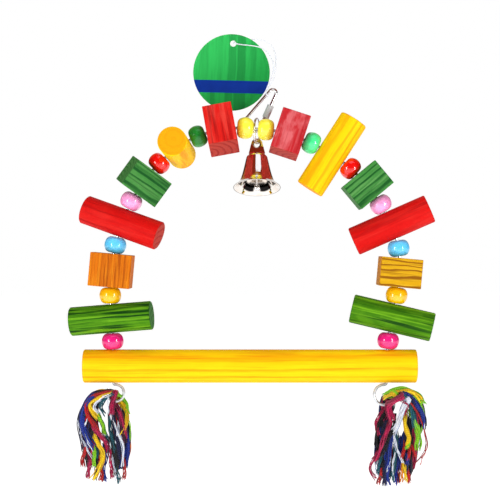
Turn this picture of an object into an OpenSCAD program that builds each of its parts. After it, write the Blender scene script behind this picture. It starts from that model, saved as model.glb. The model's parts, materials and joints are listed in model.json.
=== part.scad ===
// Hanging bird swing: a wire arch threaded with beads, dowels and blocks, a round
// perch across its foot, a bell inside its top, a tag and two yarn tassels.
// The origin is the highest point inside the quick link, where a hook takes it.
// X runs along the perch, Y runs away from the front and Z is up.

/* [Arch wire] */
// Diameter of the arch wire
wire_d = 2.3; // [1.8:0.1:2.6]
// Radius of the left eye under the perch, to the middle of its wire
eye_r_left = 6.4; // [6:0.1:9]
// Radius of the right eye under the perch, to the middle of its wire
eye_r_right = 7.8; // [6:0.1:9]
// Radius of the bend between each shank and its eye, to the middle of the wire
eye_bend_r = 1.8; // [1.5:0.1:3]
// Angle left open at the cut end of each eye
eye_open_angle = 48; // [40:1:80]

/* [Beads] */
// Diameter of a bead
bead_d = 16.8; // [15:0.1:18]
// Length of a bead along its hole
bead_l = 11.8; // [10:0.1:13]
// Rounding where a bead's side meets its flat end
bead_edge_r = 1.8; // [0.6:0.1:2.4]
// Diameter of the hole through a bead
bead_hole_d = 4; // [3.6:0.1:5]
// Gap between the two top beads, where the hanger ring passes
top_gap = 4.1; // [3.8:0.1:6]

/* [Wood] */
// Diameter of the cross-drilled dowels
dowel_d = 22; // [18:0.5:24]
// Length of the dowels
dowel_l = 63; // [50:0.5:66]
// Bevel round the ends of the dowels
dowel_bevel = 0.7; // [0.3:0.1:1.5]
// Length of the blocks, across the wire
block_l = 31.5; // [26:0.5:34]
// Depth of the blocks, from front to back
block_w = 27.5; // [22:0.5:30]
// Thickness of the blocks along the wire
block_t = 22.2; // [18:0.2:24]
// Thickness of the left amber block, which is drilled through a wider side
amber_t = 25.4; // [20:0.2:27]
// Bevel along the edges of the blocks
block_bevel = 0.4; // [0.2:0.1:1]
// Diameter of the wire holes through dowels, blocks and perch
wood_hole_d = 4.8; // [4.4:0.1:5.4]

/* [Perch] */
// Diameter of the perch
perch_d = 25.4; // [22:0.2:28]
// Reach of the perch past the wire at each end
perch_overhang = 22.6; // [12:0.2:30]
// Rounding round the ends of the perch
perch_edge_r = 1.2; // [0.5:0.1:3]

/* [Quick link] */
// Diameter of the quick link's rod
rod_d = 2.3; // [2:0.1:2.6]
// Radius of the narrow end of the link, to the middle of its rod
link_top_r = 2.6; // [2.4:0.1:3.5]
// Radius of the wide end of the link, to the middle of its rod
link_base_r = 6.7; // [6.4:0.1:7.6]
// Distance between the centres of the link's two ends
link_reach = 28; // [26:0.5:34]
// Lean of the link from upright
link_tilt = 32.3; // [25:0.1:40]
// Distance down the right arm to the sleeve
sleeve_start = 9.7; // [9.2:0.1:11]
// Length of the sleeve
sleeve_l = 10.3; // [9.5:0.1:11]
// Size of the hexagonal sleeve across its flats
sleeve_flats = 4.6; // [4.2:0.1:5.4]
// Width of the mouth that the sleeve closes
mouth_w = 4.5; // [3:0.1:5]
// Length of the lower seat that the closed sleeve covers
seat_l = 1.5; // [1:0.1:2]
// Diameter of the collar that stops the sleeve
collar_d = 3.7; // [3.4:0.1:4.2]
// Length of the collar
collar_l = 1.5; // [1:0.1:2.5]

/* [Hanger ring] */
// Diameter of the hanger ring's wire
ring_wire_d = 1.6; // [1.2:0.1:1.7]
// Height of the hanger ring, to the middle of its wire
ring_h = 19.4; // [18:0.1:22]
// Height of the ring's top above the arch wire, to the middle of its wire
ring_rise = 8.4; // [7.6:0.1:9]
// Turn of the ring about the upright
ring_turn = 15; // [8:1:16]

/* [Bell] */
// Radius of the bell's mouth
bell_rim_r = 18; // [16:0.1:18.5]
// Height of the bell from its collar to its mouth
bell_h = 26; // [22:0.2:30]
// Radius where the shoulder ends
bell_shoulder_r = 8.4; // [7.6:0.1:9]
// Radius that the straight side would have at the mouth
bell_waist_r = 13.6; // [12:0.1:14.5]
// Rounding of the shoulder
bell_shoulder_round = 2.5; // [1.5:0.1:3]
// Thickness of the bell's wall
bell_wall = 1.2; // [0.8:0.1:1.6]
// Radius of the collar under the crown
bell_collar_r = 6.3; // [5.6:0.1:6.8]
// Thickness of the collar
bell_collar_h = 1.4; // [1:0.1:2]
// Distance from the crown's hole to the top of the collar
crown_h = 8; // [7:0.1:9]
// Outer radius of the crown round its hole
crown_r = 4.3; // [3.8:0.1:4.6]
// Thickness of the crown from front to back
crown_t = 4; // [3:0.1:4.4]
// Radius of the crown's hole
crown_hole_r = 2.1; // [1.9:0.1:2.4]
// Forward tip of the bell
bell_tip = 18.6; // [10:0.1:25]
// Diameter of the clapper's ball
ball_d = 5; // [4:0.1:7]
// Distance from the clapper's pivot to the middle of its ball
clapper_l = 21; // [17:0.2:24]

/* [Tag] */
// Diameter of the card tag
tag_d = 60; // [50:0.5:62]
// Thickness of the card
tag_t = 0.6; // [0.4:0.1:1]
// Diameter of the hole punched in the card
tag_hole_d = 4.6; // [4.2:0.1:5.5]
// Distance from the middle of the card to its hole
tag_hole_up = 22.6; // [20:0.1:24]
// Diameter of the thread that ties the card
thread_d = 0.8; // [0.6:0.1:1]

/* [Tassels] */
// Radius of the yarn bundle where it passes through an eye
bundle_r = 4.3; // [3.5:0.1:4.4]

/* [Clearances] */
// Clearance between neighbouring pieces along the wire
thread_gap = 0.25; // [0.2:0.01:0.4]
// Clearance round the hanger ring and the arch wire inside it
ring_gap = 0.3; // [0.2:0.01:0.5]
// Clearance between the top beads and the quick link
link_gap = 0.9; // [0.6:0.1:2]
// Clearance between the sleeve and the rod inside it
sleeve_gap = 0.15; // [0.1:0.01:0.2]
// Clearance between soft pieces and what carries them
soft_gap = 0.3; // [0.2:0.01:0.5]

/* [Hidden] */
$fa = 6;
$fs = 0.4;

// Overrun of a cutting tool past the face that it cuts
cut = 1;
// Degrees to radians
rad = PI / 180;
// Swell of the welded joint between two runs of rod, and how far each run stops short
joint_swell = 0.06;
joint_trim = 0.15;
// Turn below which a run of wire is straight
least_turn = 0.2;
// Turns between two points of the wire's middle line, along the arch and round the eyes
wire_step = 5;
eye_step = 15;

// The two sides of the arch
LEFT = -1;
RIGHT = 1;

// Lean of the wire from upright at the top gap, at the six pieces of wood going
// down each side, and at the perch. A positive lean is towards the arch's middle.
lean_left = [95, 80.5, 55, 37, 20.5, 6, -4, 0];
lean_right = [85, 71, 56.5, 39, 23, -6, -14, 0];
// Half thickness along the wire of the same six pieces and the perch
half_left = [block_t, dowel_d, block_t, dowel_d, amber_t, dowel_d, perch_d] / 2;
half_right = [block_t, dowel_d, block_t, dowel_d, block_t, dowel_d, perch_d] / 2;
// Turn of the same six pieces about the wire
spin_left = [-17.7, 83.5, 18.3, -12.3, 0, -5.7];
spin_right = [7.2, 0, 0, -6, 0, -6.7];

// Colours of the beads going down each side
bead_yellow = [1, 0.93, 0.2];
bead_green = [0.1, 0.58, 0.24];
bead_mint = [0.28, 0.84, 0.5];
bead_red = [0.94, 0.1, 0.05];
bead_pink = [0.97, 0.56, 0.8];
bead_blue = [0.33, 0.74, 0.98];
bead_amber = [1, 0.73, 0.12];
bead_magenta = [0.92, 0.18, 0.5];
// Colours of the stained wood and the metal
wood_red = [0.84, 0.08, 0.08];
wood_yellow = [0.97, 0.76, 0.04];
wood_green = [0.2, 0.48, 0.14];
wood_amber = [0.84, 0.58, 0.12];
bright_metal = [0.78, 0.78, 0.8];

// Distance from a bead's middle to a flat face that it touches while its hole
// leans from that face's normal by this angle
bead_corner_z = bead_l / 2 - bead_edge_r;
bead_corner_r = sqrt(pow(bead_d / 2 - bead_edge_r, 2) - pow(bead_corner_z, 2));
function bead_reach(lean) =
    bead_corner_z * cos(lean) + bead_corner_r * sin(abs(lean)) + bead_edge_r;

// Length of wire from a bead's middle to the middle of the piece that it touches
function seat(turn, half) =
    (half + bead_reach(turn) + thread_gap)
    * (abs(turn) < least_turn ? 1 : turn * rad / sin(turn));

// The wire of one side as runs of length and turn, from the top gap to the perch,
// with a bead at every odd joint and a piece of wood at every even one
function side_runs(lean, half) = [
    [top_gap / 2 + bead_l / 2, 0],
    [seat(lean[0] - lean[1], half[0]), lean[0] - lean[1]],
    for (i = [1:6])
        let (turn = (lean[i] - lean[i + 1]) / 2)
        each [[seat(turn, half[i - 1]), turn], [seat(turn, half[i]), turn]]
];

// The leans of one side after the top of the arch is rolled to the right
function rolled(lean, side, roll) =
    [for (i = [0:7]) i == 7 ? 0 : lean[i] - side * roll];

// The step in x and z along one run that starts at this lean
function run_step(run, lean, side) =
    let (mid = lean - run[1] / 2, half = run[1] / 2,
         chord = abs(run[1]) < least_turn ? run[0] : run[0] * sin(half) / (half * rad))
    chord * [side * sin(mid), -cos(mid)];

// The joints between the runs of one side, each as x, z and lean
function stations(runs, lean, side, i = 0, x = 0, z = 0) =
    concat([[x, z, lean]], i == len(runs) ? [] :
        let (step = run_step(runs[i], lean, side))
        stations(runs, lean - runs[i][1], side, i + 1, x + step[0], z + step[1]));

// The stations of one side of the arch, counted from the middle of its top gap
function side_stations(side, roll) =
    let (lean = rolled(side == LEFT ? lean_left : lean_right, side, roll),
         runs = side_runs(lean, side == LEFT ? half_left : half_right))
    stations(runs, lean[0], side);

// The roll of the top of the arch that brings both ends of the wire level
function level_roll(low, high, count) =
    let (mid = (low + high) / 2)
    count == 0 ? mid :
    side_stations(LEFT, mid)[14][1] > side_stations(RIGHT, mid)[14][1]
        ? level_roll(low, mid, count - 1) : level_roll(mid, high, count - 1);
arch_roll = level_roll(-15, 15, 24);

runs_left = side_runs(rolled(lean_left, LEFT, arch_roll), half_left);
runs_right = side_runs(rolled(lean_right, RIGHT, arch_roll), half_right);
at_left = side_stations(LEFT, arch_roll);
at_right = side_stations(RIGHT, arch_roll);

// Shape of the quick link: its arms lean out from its middle by this angle
link_flare = asin((link_base_r - link_top_r) / link_reach);
link_arm_l = link_reach * cos(link_flare);
link_top_z = -(link_top_r - rod_d / 2);
link_base = [-link_reach * sin(link_tilt), link_top_z - link_reach * cos(link_tilt)];
mouth_start = sleeve_start + sleeve_l - seat_l - mouth_w;
collar_start = sleeve_start + sleeve_l + soft_gap;

// Place of the middle of the top gap, in front of the link's wide end
gap_beside_base_share = 0.24;
gap_over_base_share = 0.21;
top_y = -(bead_d / 2 + link_gap + rod_d / 2);
top = [
    link_base[0] + gap_beside_base_share * link_base_r,
    top_y,
    link_base[1] - (1 - gap_over_base_share) * link_base_r
];

// Hanger ring: an oval turned about an upright between the arch wire at its front and
// the link at its back, as far from each as its clearance once it is turned
ring_turn_share = 0.125;
ring_turn_y = -top_y * ring_turn_share;
ring_front = ring_turn_y
    - (wire_d / 2 + ring_gap + ring_wire_d / 2 + ring_turn_y) / cos(ring_turn);
ring_back = ring_turn_y
    + (rod_d / 2 + ring_gap + ring_wire_d / 2 - top_y - ring_turn_y) / cos(ring_turn);
ring_end_r = (ring_back - ring_front) / 2;
ring_mid_y = (ring_back + ring_front) / 2;

// The bell hangs from the bottom of the ring, which is turned about the upright
bell_pivot = top + [
    (ring_mid_y - ring_turn_y) * sin(ring_turn),
    ring_turn_y + (ring_mid_y - ring_turn_y) * cos(ring_turn),
    ring_rise - ring_h
];
crown_drop = crown_hole_r - ring_wire_d / 2 - 2 * ring_gap;
bell_roof = -(crown_h + bell_collar_h);
staple_wire_r = 0.45;
staple_r = 2;
clapper_ring_wire_r = 0.5;
clapper_ring_r = 1.9;
staple_z = bell_roof - bell_wall - staple_r;

// The tag lies behind the blocks, and this is its middle seen from the top gap
tag_behind_share = 0.38;
tag_y = block_l * tag_behind_share;
tag_beside_top = -18.7;
tag_above_top = 46.2;
tag_hole_lean = 3.4;
tag_pivot = top + [
    tag_beside_top + tag_hole_up * sin(tag_hole_lean),
    tag_y - top_y,
    tag_above_top + tag_hole_up * cos(tag_hole_lean)
];

perch_z = top[2] + at_left[14][1];
shank_left_x = top[0] + at_left[14][0];
shank_right_x = top[0] + at_right[14][0];
perch_l = shank_right_x - shank_left_x + 2 * perch_overhang;

// Each eye hangs just under the perch, turned in towards the middle
eye_top_z = perch_z - perch_d / 2 - ring_gap - wire_d / 2;
shank_l = perch_z - eye_top_z - eye_bend_r;
eye_foot_left = [shank_left_x + eye_bend_r, top_y, eye_top_z - 2 * eye_r_left];
eye_foot_right = [shank_right_x - eye_bend_r, top_y, eye_top_z - 2 * eye_r_right];

// Routes of the tassels from the foot of their eye, as x, y, z and half width: up the
// outer leg, over the foot from the front to the back, and down the inner leg
bundle_turn_r = wire_d / 2 + 2 * soft_gap + bundle_r;
over_foot = [
    for (a = [0, 45, 90]) [0, bundle_turn_r * sin(a), bundle_turn_r * cos(a), bundle_r]
];
tassel_route_left = concat([
    [-15, 0, -55, 6.5], [-17.5, 0, -40, 8.3], [-19, 0, -27, 8.6], [-19.5, -0.5, -14, 8],
    [-18.6, -2, -4, 6.8], [-15.2, -4.4, 2.8, 5.6], [-10.5, -6.6, 6, 4.9],
    [-5.8, -7.2, 6.9, bundle_r], [-2, -5, 6.8, bundle_r]
], over_foot, [
    [0.4, 6, -5, 4.8], [2, 4.6, -11.5, 6], [4, 2, -18.5, 7.2], [5.2, 0.3, -27, 7.8],
    [4.8, 0, -38, 7.8], [3, 0, -48, 7.2], [2, 0, -56, 6]
]);
tassel_route_right = concat([
    [15.3, 0, -58, 6], [17.2, 0, -44, 8], [19, 0, -31, 8.6], [22.4, -0.5, -19, 8.3],
    [24.8, -1.5, -8, 7.4], [24.2, -3.4, 1.4, 6.4], [19.8, -5.2, 7.8, 5.4],
    [13, -6.8, 10, 4.7], [7, -7.4, 9.4, bundle_r], [2.4, -5.2, 8, bundle_r]
], over_foot, [
    [0.2, 6, -5, 4.8], [0.8, 4.6, -11.5, 6], [0.4, 2, -19, 7.2], [-0.4, 0.3, -27, 8],
    [-0.8, 0, -38, 8.3], [-0.2, 0, -48, 7.8], [0.8, 0, -58, 6]
]);

// Route of the thread from inside the link, round the front of its left arm, through
// the card and back round the arm
thread_route = [
    [-3.4, -0.6, -4.5], [-4, -1.7, -4], [-5.2, -2, -2.6], [-5.2, -1.8, 0], [-3.6, -1.6, 4],
    [-1.4, -1, 9], [0.4, 0.6, 16], [0, 4, 24], [-4, 8.5, 31], [-9, 10.9, 35],
    [-16, 11, 36.6], [-24, 11, 37.4], [-28, 11, 38.1], [-30.2, 11.4, 38.6],
    [-30.7, 12.4, 39], [-30, 13.2, 39.6], [-27, 13.4, 40.4], [-20, 13.4, 41.4],
    [-10, 13.2, 41.6], [-2, 11.6, 38], [2, 8, 30], [2.4, 4.4, 20], [0.8, 3, 10],
    [-3.4, 2.4, 3], [-5.6, 2.1, -1], [-5, 2, -3], [-4, 1.7, -4], [-3.4, 0.6, -4.5]
];

// A point on a smooth curve through four points
function curve_point(a, b, c, d, t) =
    0.5 * (2 * b + (c - a) * t + (2 * a - 5 * b + 4 * c - d) * t * t
    + (3 * b - 3 * c + d - a) * t * t * t);

// The points of a smooth curve through a route, with this many steps a stretch
function smooth_route(route, steps) =
    let (last = len(route) - 1) [
    for (i = [0:last - 1], j = [0:steps - 1])
        curve_point(route[max(i - 1, 0)], route[i], route[i + 1],
                    route[min(i + 2, last)], j / steps),
    route[last]
];

function unit(v) = v / norm(v);
function xyz(p) = [p[0], p[1], p[2]];

// Directions of a route at its points
function headings(path) =
    let (last = len(path) - 1)
    [for (i = [0:last]) unit(xyz(path[min(i + 1, last)]) - xyz(path[max(i - 1, 0)]))];

// Sideways directions carried along a route without twist
function sideways(heading, before, i = 0) =
    i == len(heading) ? [] :
    let (side = unit(before - (before * heading[i]) * heading[i]))
    concat([side], sideways(heading, side, i + 1));

// Colours and places

module at_top() {
    translate(top) children();
}

// The joint between two runs of rod
module joint(d) {
    sphere(d = d + 2 * joint_swell);
}

// A straight rod along z that stops short of the joints at both its ends
module straight_run(l, d) {
    translate([0, 0, joint_trim]) cylinder(h = l - 2 * joint_trim, d = d);
}

// A bent rod round z from this angle, which stops short of the joints at its ends
module bent_run(from, turn, r, d) {
    short = joint_trim / r / rad;
    rotate([0, 0, from + short]) rotate_extrude(angle = turn - 2 * short)
        translate([r, 0]) circle(d = d);
}

// The middle line of the wire of one side, as x, y, z and half width from the middle of
// the top gap: down to the perch, through it, and round the eye to its cut end
function side_line(runs, at, side, eye_r) =
    let (foot = at[len(runs)], bend_z = foot[1] - shank_l,
         eye_x = foot[0] - side * eye_bend_r, eye_z = bend_z - eye_bend_r - eye_r)
    [for (p = [
        for (i = [0:len(runs) - 1])
            let (steps = max(1, ceil(abs(runs[i][1]) / wire_step)))
            for (k = [0:steps - 1])
                [at[i][0], at[i][1]] + run_step(runs[i] * k / steps, at[i][2], side),
        [foot[0], foot[1]],
        for (a = [0:eye_step:90 - eye_step])
            [eye_x + side * eye_bend_r * cos(a), bend_z - eye_bend_r * sin(a)],
        for (a = [0:eye_step:360 - eye_open_angle])
            [eye_x - side * eye_r * sin(a), eye_z + eye_r * cos(a)]
    ]) [p[0], 0, p[1], wire_d / 2]];

module arch_wire() color(bright_metal) {
    left = side_line(runs_left, at_left, LEFT, eye_r_left);
    right = side_line(runs_right, at_right, RIGHT, eye_r_right);
    at_top()
        tube(concat(reversed(left), [for (i = [1:len(right) - 1]) right[i]]), 12);
}

// A cylinder with rounded ends along z
module rounded_rod(l, d, edge) {
    rotate_extrude() {
        translate([0, -l / 2]) square([d / 2 - edge, l]);
        translate([0, edge - l / 2]) square([d / 2, l - 2 * edge]);
        for (z = [edge - l / 2, l / 2 - edge])
            intersection() {
                translate([d / 2 - edge, z]) circle(edge);
                translate([0, -l / 2]) square([d / 2, l]);
            }
    }
}

module perch() color(wood_yellow)
    difference() {
        translate([(shank_left_x + shank_right_x) / 2, top_y, perch_z])
            rotate([0, 90, 0]) rounded_rod(perch_l, perch_d, perch_edge_r);
        for (x = [shank_left_x, shank_right_x])
            translate([x, top_y, perch_z - perch_d / 2 - cut])
                cylinder(h = perch_d + 2 * cut, d = wood_hole_d);
    }

// Carries a piece to its station on the wire, with its hole along z
module on_wire(side, index, spin = 0) {
    at = side == LEFT ? at_left[index] : at_right[index];
    at_top() translate([at[0], 0, at[1]]) rotate([0, -side * at[2], 0])
        rotate([0, 0, spin]) children();
}

module bead(tint) color(tint)
    difference() {
        rotate_extrude() intersection() {
            union() {
                intersection() {
                    circle(d = bead_d);
                    translate([0, -bead_corner_z]) square([bead_d, 2 * bead_corner_z]);
                }
                translate([0, -bead_l / 2]) square([bead_corner_r, bead_l]);
                for (z = [-bead_corner_z, bead_corner_z])
                    translate([bead_corner_r, z]) circle(bead_edge_r);
            }
            translate([0, -bead_l]) square([bead_d, 2 * bead_l]);
        }
        translate([0, 0, -bead_l / 2 - cut])
            cylinder(h = bead_l + 2 * cut, d = bead_hole_d);
    }

module dowel(tint) color(tint)
    difference() {
        rotate([0, 90, 0]) rotate_extrude() polygon([
            [0, -dowel_l / 2],
            [dowel_d / 2 - dowel_bevel, -dowel_l / 2],
            [dowel_d / 2, dowel_bevel - dowel_l / 2],
            [dowel_d / 2, dowel_l / 2 - dowel_bevel],
            [dowel_d / 2 - dowel_bevel, dowel_l / 2],
            [0, dowel_l / 2]
        ]);
        translate([0, 0, -dowel_d / 2 - cut])
            cylinder(h = dowel_d + 2 * cut, d = wood_hole_d);
    }

// A prism along z whose four long edges are bevelled
module bevelled_bar(x, y, z, bevel) {
    translate([0, 0, -z / 2]) linear_extrude(z) polygon([
        [bevel - x / 2, -y / 2], [x / 2 - bevel, -y / 2], [x / 2, bevel - y / 2],
        [x / 2, y / 2 - bevel], [x / 2 - bevel, y / 2], [bevel - x / 2, y / 2],
        [-x / 2, y / 2 - bevel], [-x / 2, bevel - y / 2]
    ]);
}

module block(tint, t) color(tint)
    difference() {
        intersection() {
            bevelled_bar(block_l, block_w, t, block_bevel);
            rotate([90, 0, 0]) bevelled_bar(block_l, t, block_w, block_bevel);
            rotate([0, 90, 0]) bevelled_bar(t, block_w, block_l, block_bevel);
        }
        translate([0, 0, -t / 2 - cut]) cylinder(h = t + 2 * cut, d = wood_hole_d);
    }

// The link's outline plane: y down its middle from the narrow end, turned by its tilt
module in_link() {
    translate([0, 0, link_top_z]) rotate([90, 0, 0]) rotate([0, 0, -link_tilt])
        children();
}

// Down the right arm of the link from its narrow end, with z along the arm
module down_arm(distance) {
    in_link() translate([link_top_r * cos(link_flare), link_top_r * sin(link_flare), 0])
        rotate([0, 0, link_flare]) translate([0, -distance, 0]) rotate([90, 0, 0])
        children();
}

module link_rod() color(bright_metal) {
    in_link() {
        bent_run(link_flare, 180 - 2 * link_flare, link_top_r, rod_d);
        translate([0, -link_reach, 0])
            bent_run(180 - link_flare, 180 + 2 * link_flare, link_base_r, rod_d);
        translate([-link_top_r * cos(link_flare), link_top_r * sin(link_flare), 0])
            rotate([0, 0, -link_flare]) rotate([90, 0, 0]) {
                joint(rod_d);
                straight_run(link_arm_l, rod_d);
                translate([0, 0, link_arm_l]) joint(rod_d);
            }
    }
    down_arm(0) joint(rod_d);
    down_arm(joint_trim) cylinder(h = mouth_start - joint_trim, d = rod_d);
    down_arm(mouth_start + mouth_w)
        cylinder(h = link_arm_l - mouth_start - mouth_w - joint_trim, d = rod_d);
    down_arm(link_arm_l) joint(rod_d);
    down_arm(collar_start) cylinder(h = collar_l, d = collar_d);
}

module link_sleeve() color(bright_metal)
    down_arm(sleeve_start) difference() {
        cylinder(h = sleeve_l, d = sleeve_flats / cos(30), $fn = 6);
        translate([0, 0, -cut])
            cylinder(h = sleeve_l + 2 * cut, d = rod_d + 2 * sleeve_gap);
    }

module hanger_ring() color(bright_metal)
    at_top() translate([0, ring_turn_y, 0]) rotate([0, 0, -ring_turn])
        translate([0, ring_mid_y - ring_turn_y, 0]) rotate([90, 0, 90]) {
            straight = ring_h - 2 * ring_end_r;
            high = ring_rise - ring_end_r;
            translate([0, high - straight, 0])
                bent_run(180, 180, ring_end_r, ring_wire_d);
            translate([0, high, 0]) bent_run(0, 180, ring_end_r, ring_wire_d);
            for (x = [-ring_end_r, ring_end_r])
                translate([x, high, 0]) rotate([90, 0, 0]) {
                    joint(ring_wire_d);
                    straight_run(straight, ring_wire_d);
                    translate([0, 0, straight]) joint(ring_wire_d);
                }
        }

// Tips what hangs from the ring, with the crown's hole at the origin
module in_bell() {
    translate(bell_pivot) rotate([-bell_tip, 0, 0]) translate([0, 0, -crown_drop])
        children();
}

// Outer radius of the bell at a share of its height below the shoulder
bell_flare = bell_rim_r - bell_waist_r;
bell_flare_power = 6;
bell_side_h = bell_h - bell_shoulder_round;
bell_side_steps = 14;
function bell_r(share) =
    bell_shoulder_r + (bell_waist_r - bell_shoulder_r) * share
    + bell_flare * pow(share, bell_flare_power);

// The bell's side from its roof to its rim, drawn in by this much
function bell_side(inset) = [
    for (a = [90:-15:15])
        [bell_shoulder_r - bell_shoulder_round + (bell_shoulder_round - inset) * cos(a),
         (bell_shoulder_round - inset) * sin(a) - bell_shoulder_round],
    for (i = [0:bell_side_steps])
        [bell_r(i / bell_side_steps) - inset,
         -bell_shoulder_round - bell_side_h * i / bell_side_steps]
];

function reversed(list) = [for (i = [len(list) - 1:-1:0]) list[i]];

// The crown's outline runs from the circle round its hole to the collar's edge
crown_spread = norm([bell_collar_r, crown_h]);
crown_angle = acos(crown_r / crown_spread) - atan2(crown_h, bell_collar_r);
crown_flare_share = 1 / 3;
crown_flare = crown_t * crown_flare_share;

module bell_shell() color(bright_metal) in_bell() {
    translate([0, 0, bell_roof]) rotate_extrude() polygon(concat(
        [[0, 0]], bell_side(0), reversed(bell_side(bell_wall)), [[0, -bell_wall]]
    ));
    translate([0, 0, bell_roof]) cylinder(h = bell_collar_h, r = bell_collar_r);
    difference() {
        translate([0, crown_t / 2, 0]) rotate([90, 0, 0]) linear_extrude(crown_t) {
            circle(crown_r);
            polygon([
                crown_r * [cos(crown_angle), sin(crown_angle)],
                crown_r * [-cos(crown_angle), sin(crown_angle)],
                [-bell_collar_r, -crown_h], [bell_collar_r, -crown_h]
            ]);
        }
        translate([0, crown_t, 0]) rotate([90, 0, 0])
            cylinder(h = 2 * crown_t, r = crown_hole_r);
        for (side = [0, 180])
            rotate([0, 0, side]) translate([0, -crown_t / 2 - cut, 0]) rotate([-90, 0, 0])
                cylinder(h = crown_flare + cut, r1 = crown_hole_r + crown_flare + cut,
                         r2 = crown_hole_r);
    }
    translate([0, 0, bell_roof - bell_wall]) rotate([90, 0, 0]) rotate([0, 0, 180])
        rotate_extrude(angle = 180) translate([staple_r, 0]) circle(staple_wire_r);
}

// The clapper hangs upright from the staple by its own ring, in the tipped bell
clapper_ring_drop = clapper_ring_r - staple_wire_r - clapper_ring_wire_r - sleeve_gap;
module clapper() color(bright_metal)
    in_bell() translate([0, 0, staple_z]) rotate([bell_tip, 0, 0])
        translate([0, 0, -clapper_ring_drop]) {
            rotate([0, 90, 0]) rotate_extrude() translate([clapper_ring_r, 0])
                circle(clapper_ring_wire_r);
            translate([0, 0, -clapper_l])
                cylinder(h = clapper_l - clapper_ring_r, r = clapper_ring_wire_r);
            translate([0, 0, -clapper_l]) sphere(d = ball_d);
        }

module hang_tag() color([0.15, 0.67, 0.3])
    translate(tag_pivot) rotate([0, tag_hole_lean, 0]) rotate([90, 0, 0])
        translate([0, 0, -tag_t / 2]) linear_extrude(tag_t) difference() {
            translate([0, -tag_hole_up]) circle(d = tag_d);
            circle(d = tag_hole_d);
        }

// A round tube along a path whose points are x, y, z and half width
module tube(path, sides) {
    heading = headings(path);
    across = sideways(heading, [0, 1, 0]);
    rings = len(path);
    points = [
        for (i = [0:rings - 1], k = [0:sides - 1])
            xyz(path[i]) + path[i][3] * (cos(360 * k / sides) * across[i]
            + sin(360 * k / sides) * cross(heading[i], across[i]))
    ];
    faces = [
        for (i = [0:rings - 2], k = [0:sides - 1])
            let (next = (k + 1) % sides)
            each [
                [i * sides + k, (i + 1) * sides + k, i * sides + next],
                [i * sides + next, (i + 1) * sides + k, (i + 1) * sides + next]
            ],
        for (k = [1:sides - 2]) each [
            [0, k, k + 1],
            [(rings - 1) * sides, (rings - 1) * sides + k + 1, (rings - 1) * sides + k]
        ]
    ];
    polyhedron(points, faces);
}

module tag_loop() color("white")
    tube([for (p = smooth_route(thread_route, 2)) [p[0], p[1], p[2], thread_d / 2]], 8);

module tassel(foot, route) {
    translate(foot) tube(smooth_route(route, 2), 12);
}

module tassel_left() color([0.85, 0.15, 0.45])
    tassel(eye_foot_left, tassel_route_left);

module tassel_right() color([0.2, 0.35, 0.75])
    tassel(eye_foot_right, tassel_route_right);

link_rod();
link_sleeve();
tag_loop();
hang_tag();
hanger_ring();
bell_shell();
clapper();
arch_wire();
perch();
on_wire(LEFT, 1) bead(bead_yellow);  // bead_left_yellow
on_wire(LEFT, 2, spin_left[0]) block(wood_red, block_t);  // block_left_red
on_wire(LEFT, 3) bead(bead_green);  // bead_left_green
on_wire(LEFT, 4, spin_left[1]) dowel(wood_yellow);  // dowel_left_yellow
on_wire(LEFT, 5) bead(bead_red);  // bead_left_red
on_wire(LEFT, 6, spin_left[2]) block(wood_green, block_t);  // block_left_green
on_wire(LEFT, 7) bead(bead_pink);  // bead_left_pink
on_wire(LEFT, 8, spin_left[3]) dowel(wood_red);  // dowel_left_red
on_wire(LEFT, 9) bead(bead_blue);  // bead_left_blue
on_wire(LEFT, 10, spin_left[4]) block(wood_amber, amber_t);  // block_left_amber
on_wire(LEFT, 11) bead(bead_amber);  // bead_left_amber
on_wire(LEFT, 12, spin_left[5]) dowel(wood_green);  // dowel_left_green
on_wire(LEFT, 13) bead(bead_magenta);  // bead_left_magenta
on_wire(RIGHT, 1) bead(bead_yellow);  // bead_right_yellow
on_wire(RIGHT, 2, spin_right[0]) block(wood_red, block_t);  // block_right_red
on_wire(RIGHT, 3) bead(bead_mint);  // bead_right_mint
on_wire(RIGHT, 4, spin_right[1]) dowel(wood_yellow);  // dowel_right_yellow
on_wire(RIGHT, 5) bead(bead_red);  // bead_right_red
on_wire(RIGHT, 6, spin_right[2]) block(wood_green, block_t);  // block_right_green
on_wire(RIGHT, 7) bead(bead_pink);  // bead_right_pink
on_wire(RIGHT, 8, spin_right[3]) dowel(wood_red);  // dowel_right_red
on_wire(RIGHT, 9) bead(bead_blue);  // bead_right_blue
on_wire(RIGHT, 10, spin_right[4]) block(wood_amber, block_t);  // block_right_amber
on_wire(RIGHT, 11) bead(bead_amber);  // bead_right_amber
on_wire(RIGHT, 12, spin_right[5]) dowel(wood_green);  // dowel_right_green
on_wire(RIGHT, 13) bead(bead_magenta);  // bead_right_magenta
tassel_left();
tassel_right();
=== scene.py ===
"""Hanging bird swing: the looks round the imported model.

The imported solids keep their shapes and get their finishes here, apart from the beads,
which are turned rounder, and from the two tassels and the card's thread, which are laid
strand by strand where their solids are.
"""

import json
import logging
import math
import random
from dataclasses import dataclass
from enum import Enum
from typing import Sequence, Union

import bmesh
import bpy
from bpy.types import Material, NodeSocket, Object, World
from mathutils import Euler, Matrix, Vector

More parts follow.
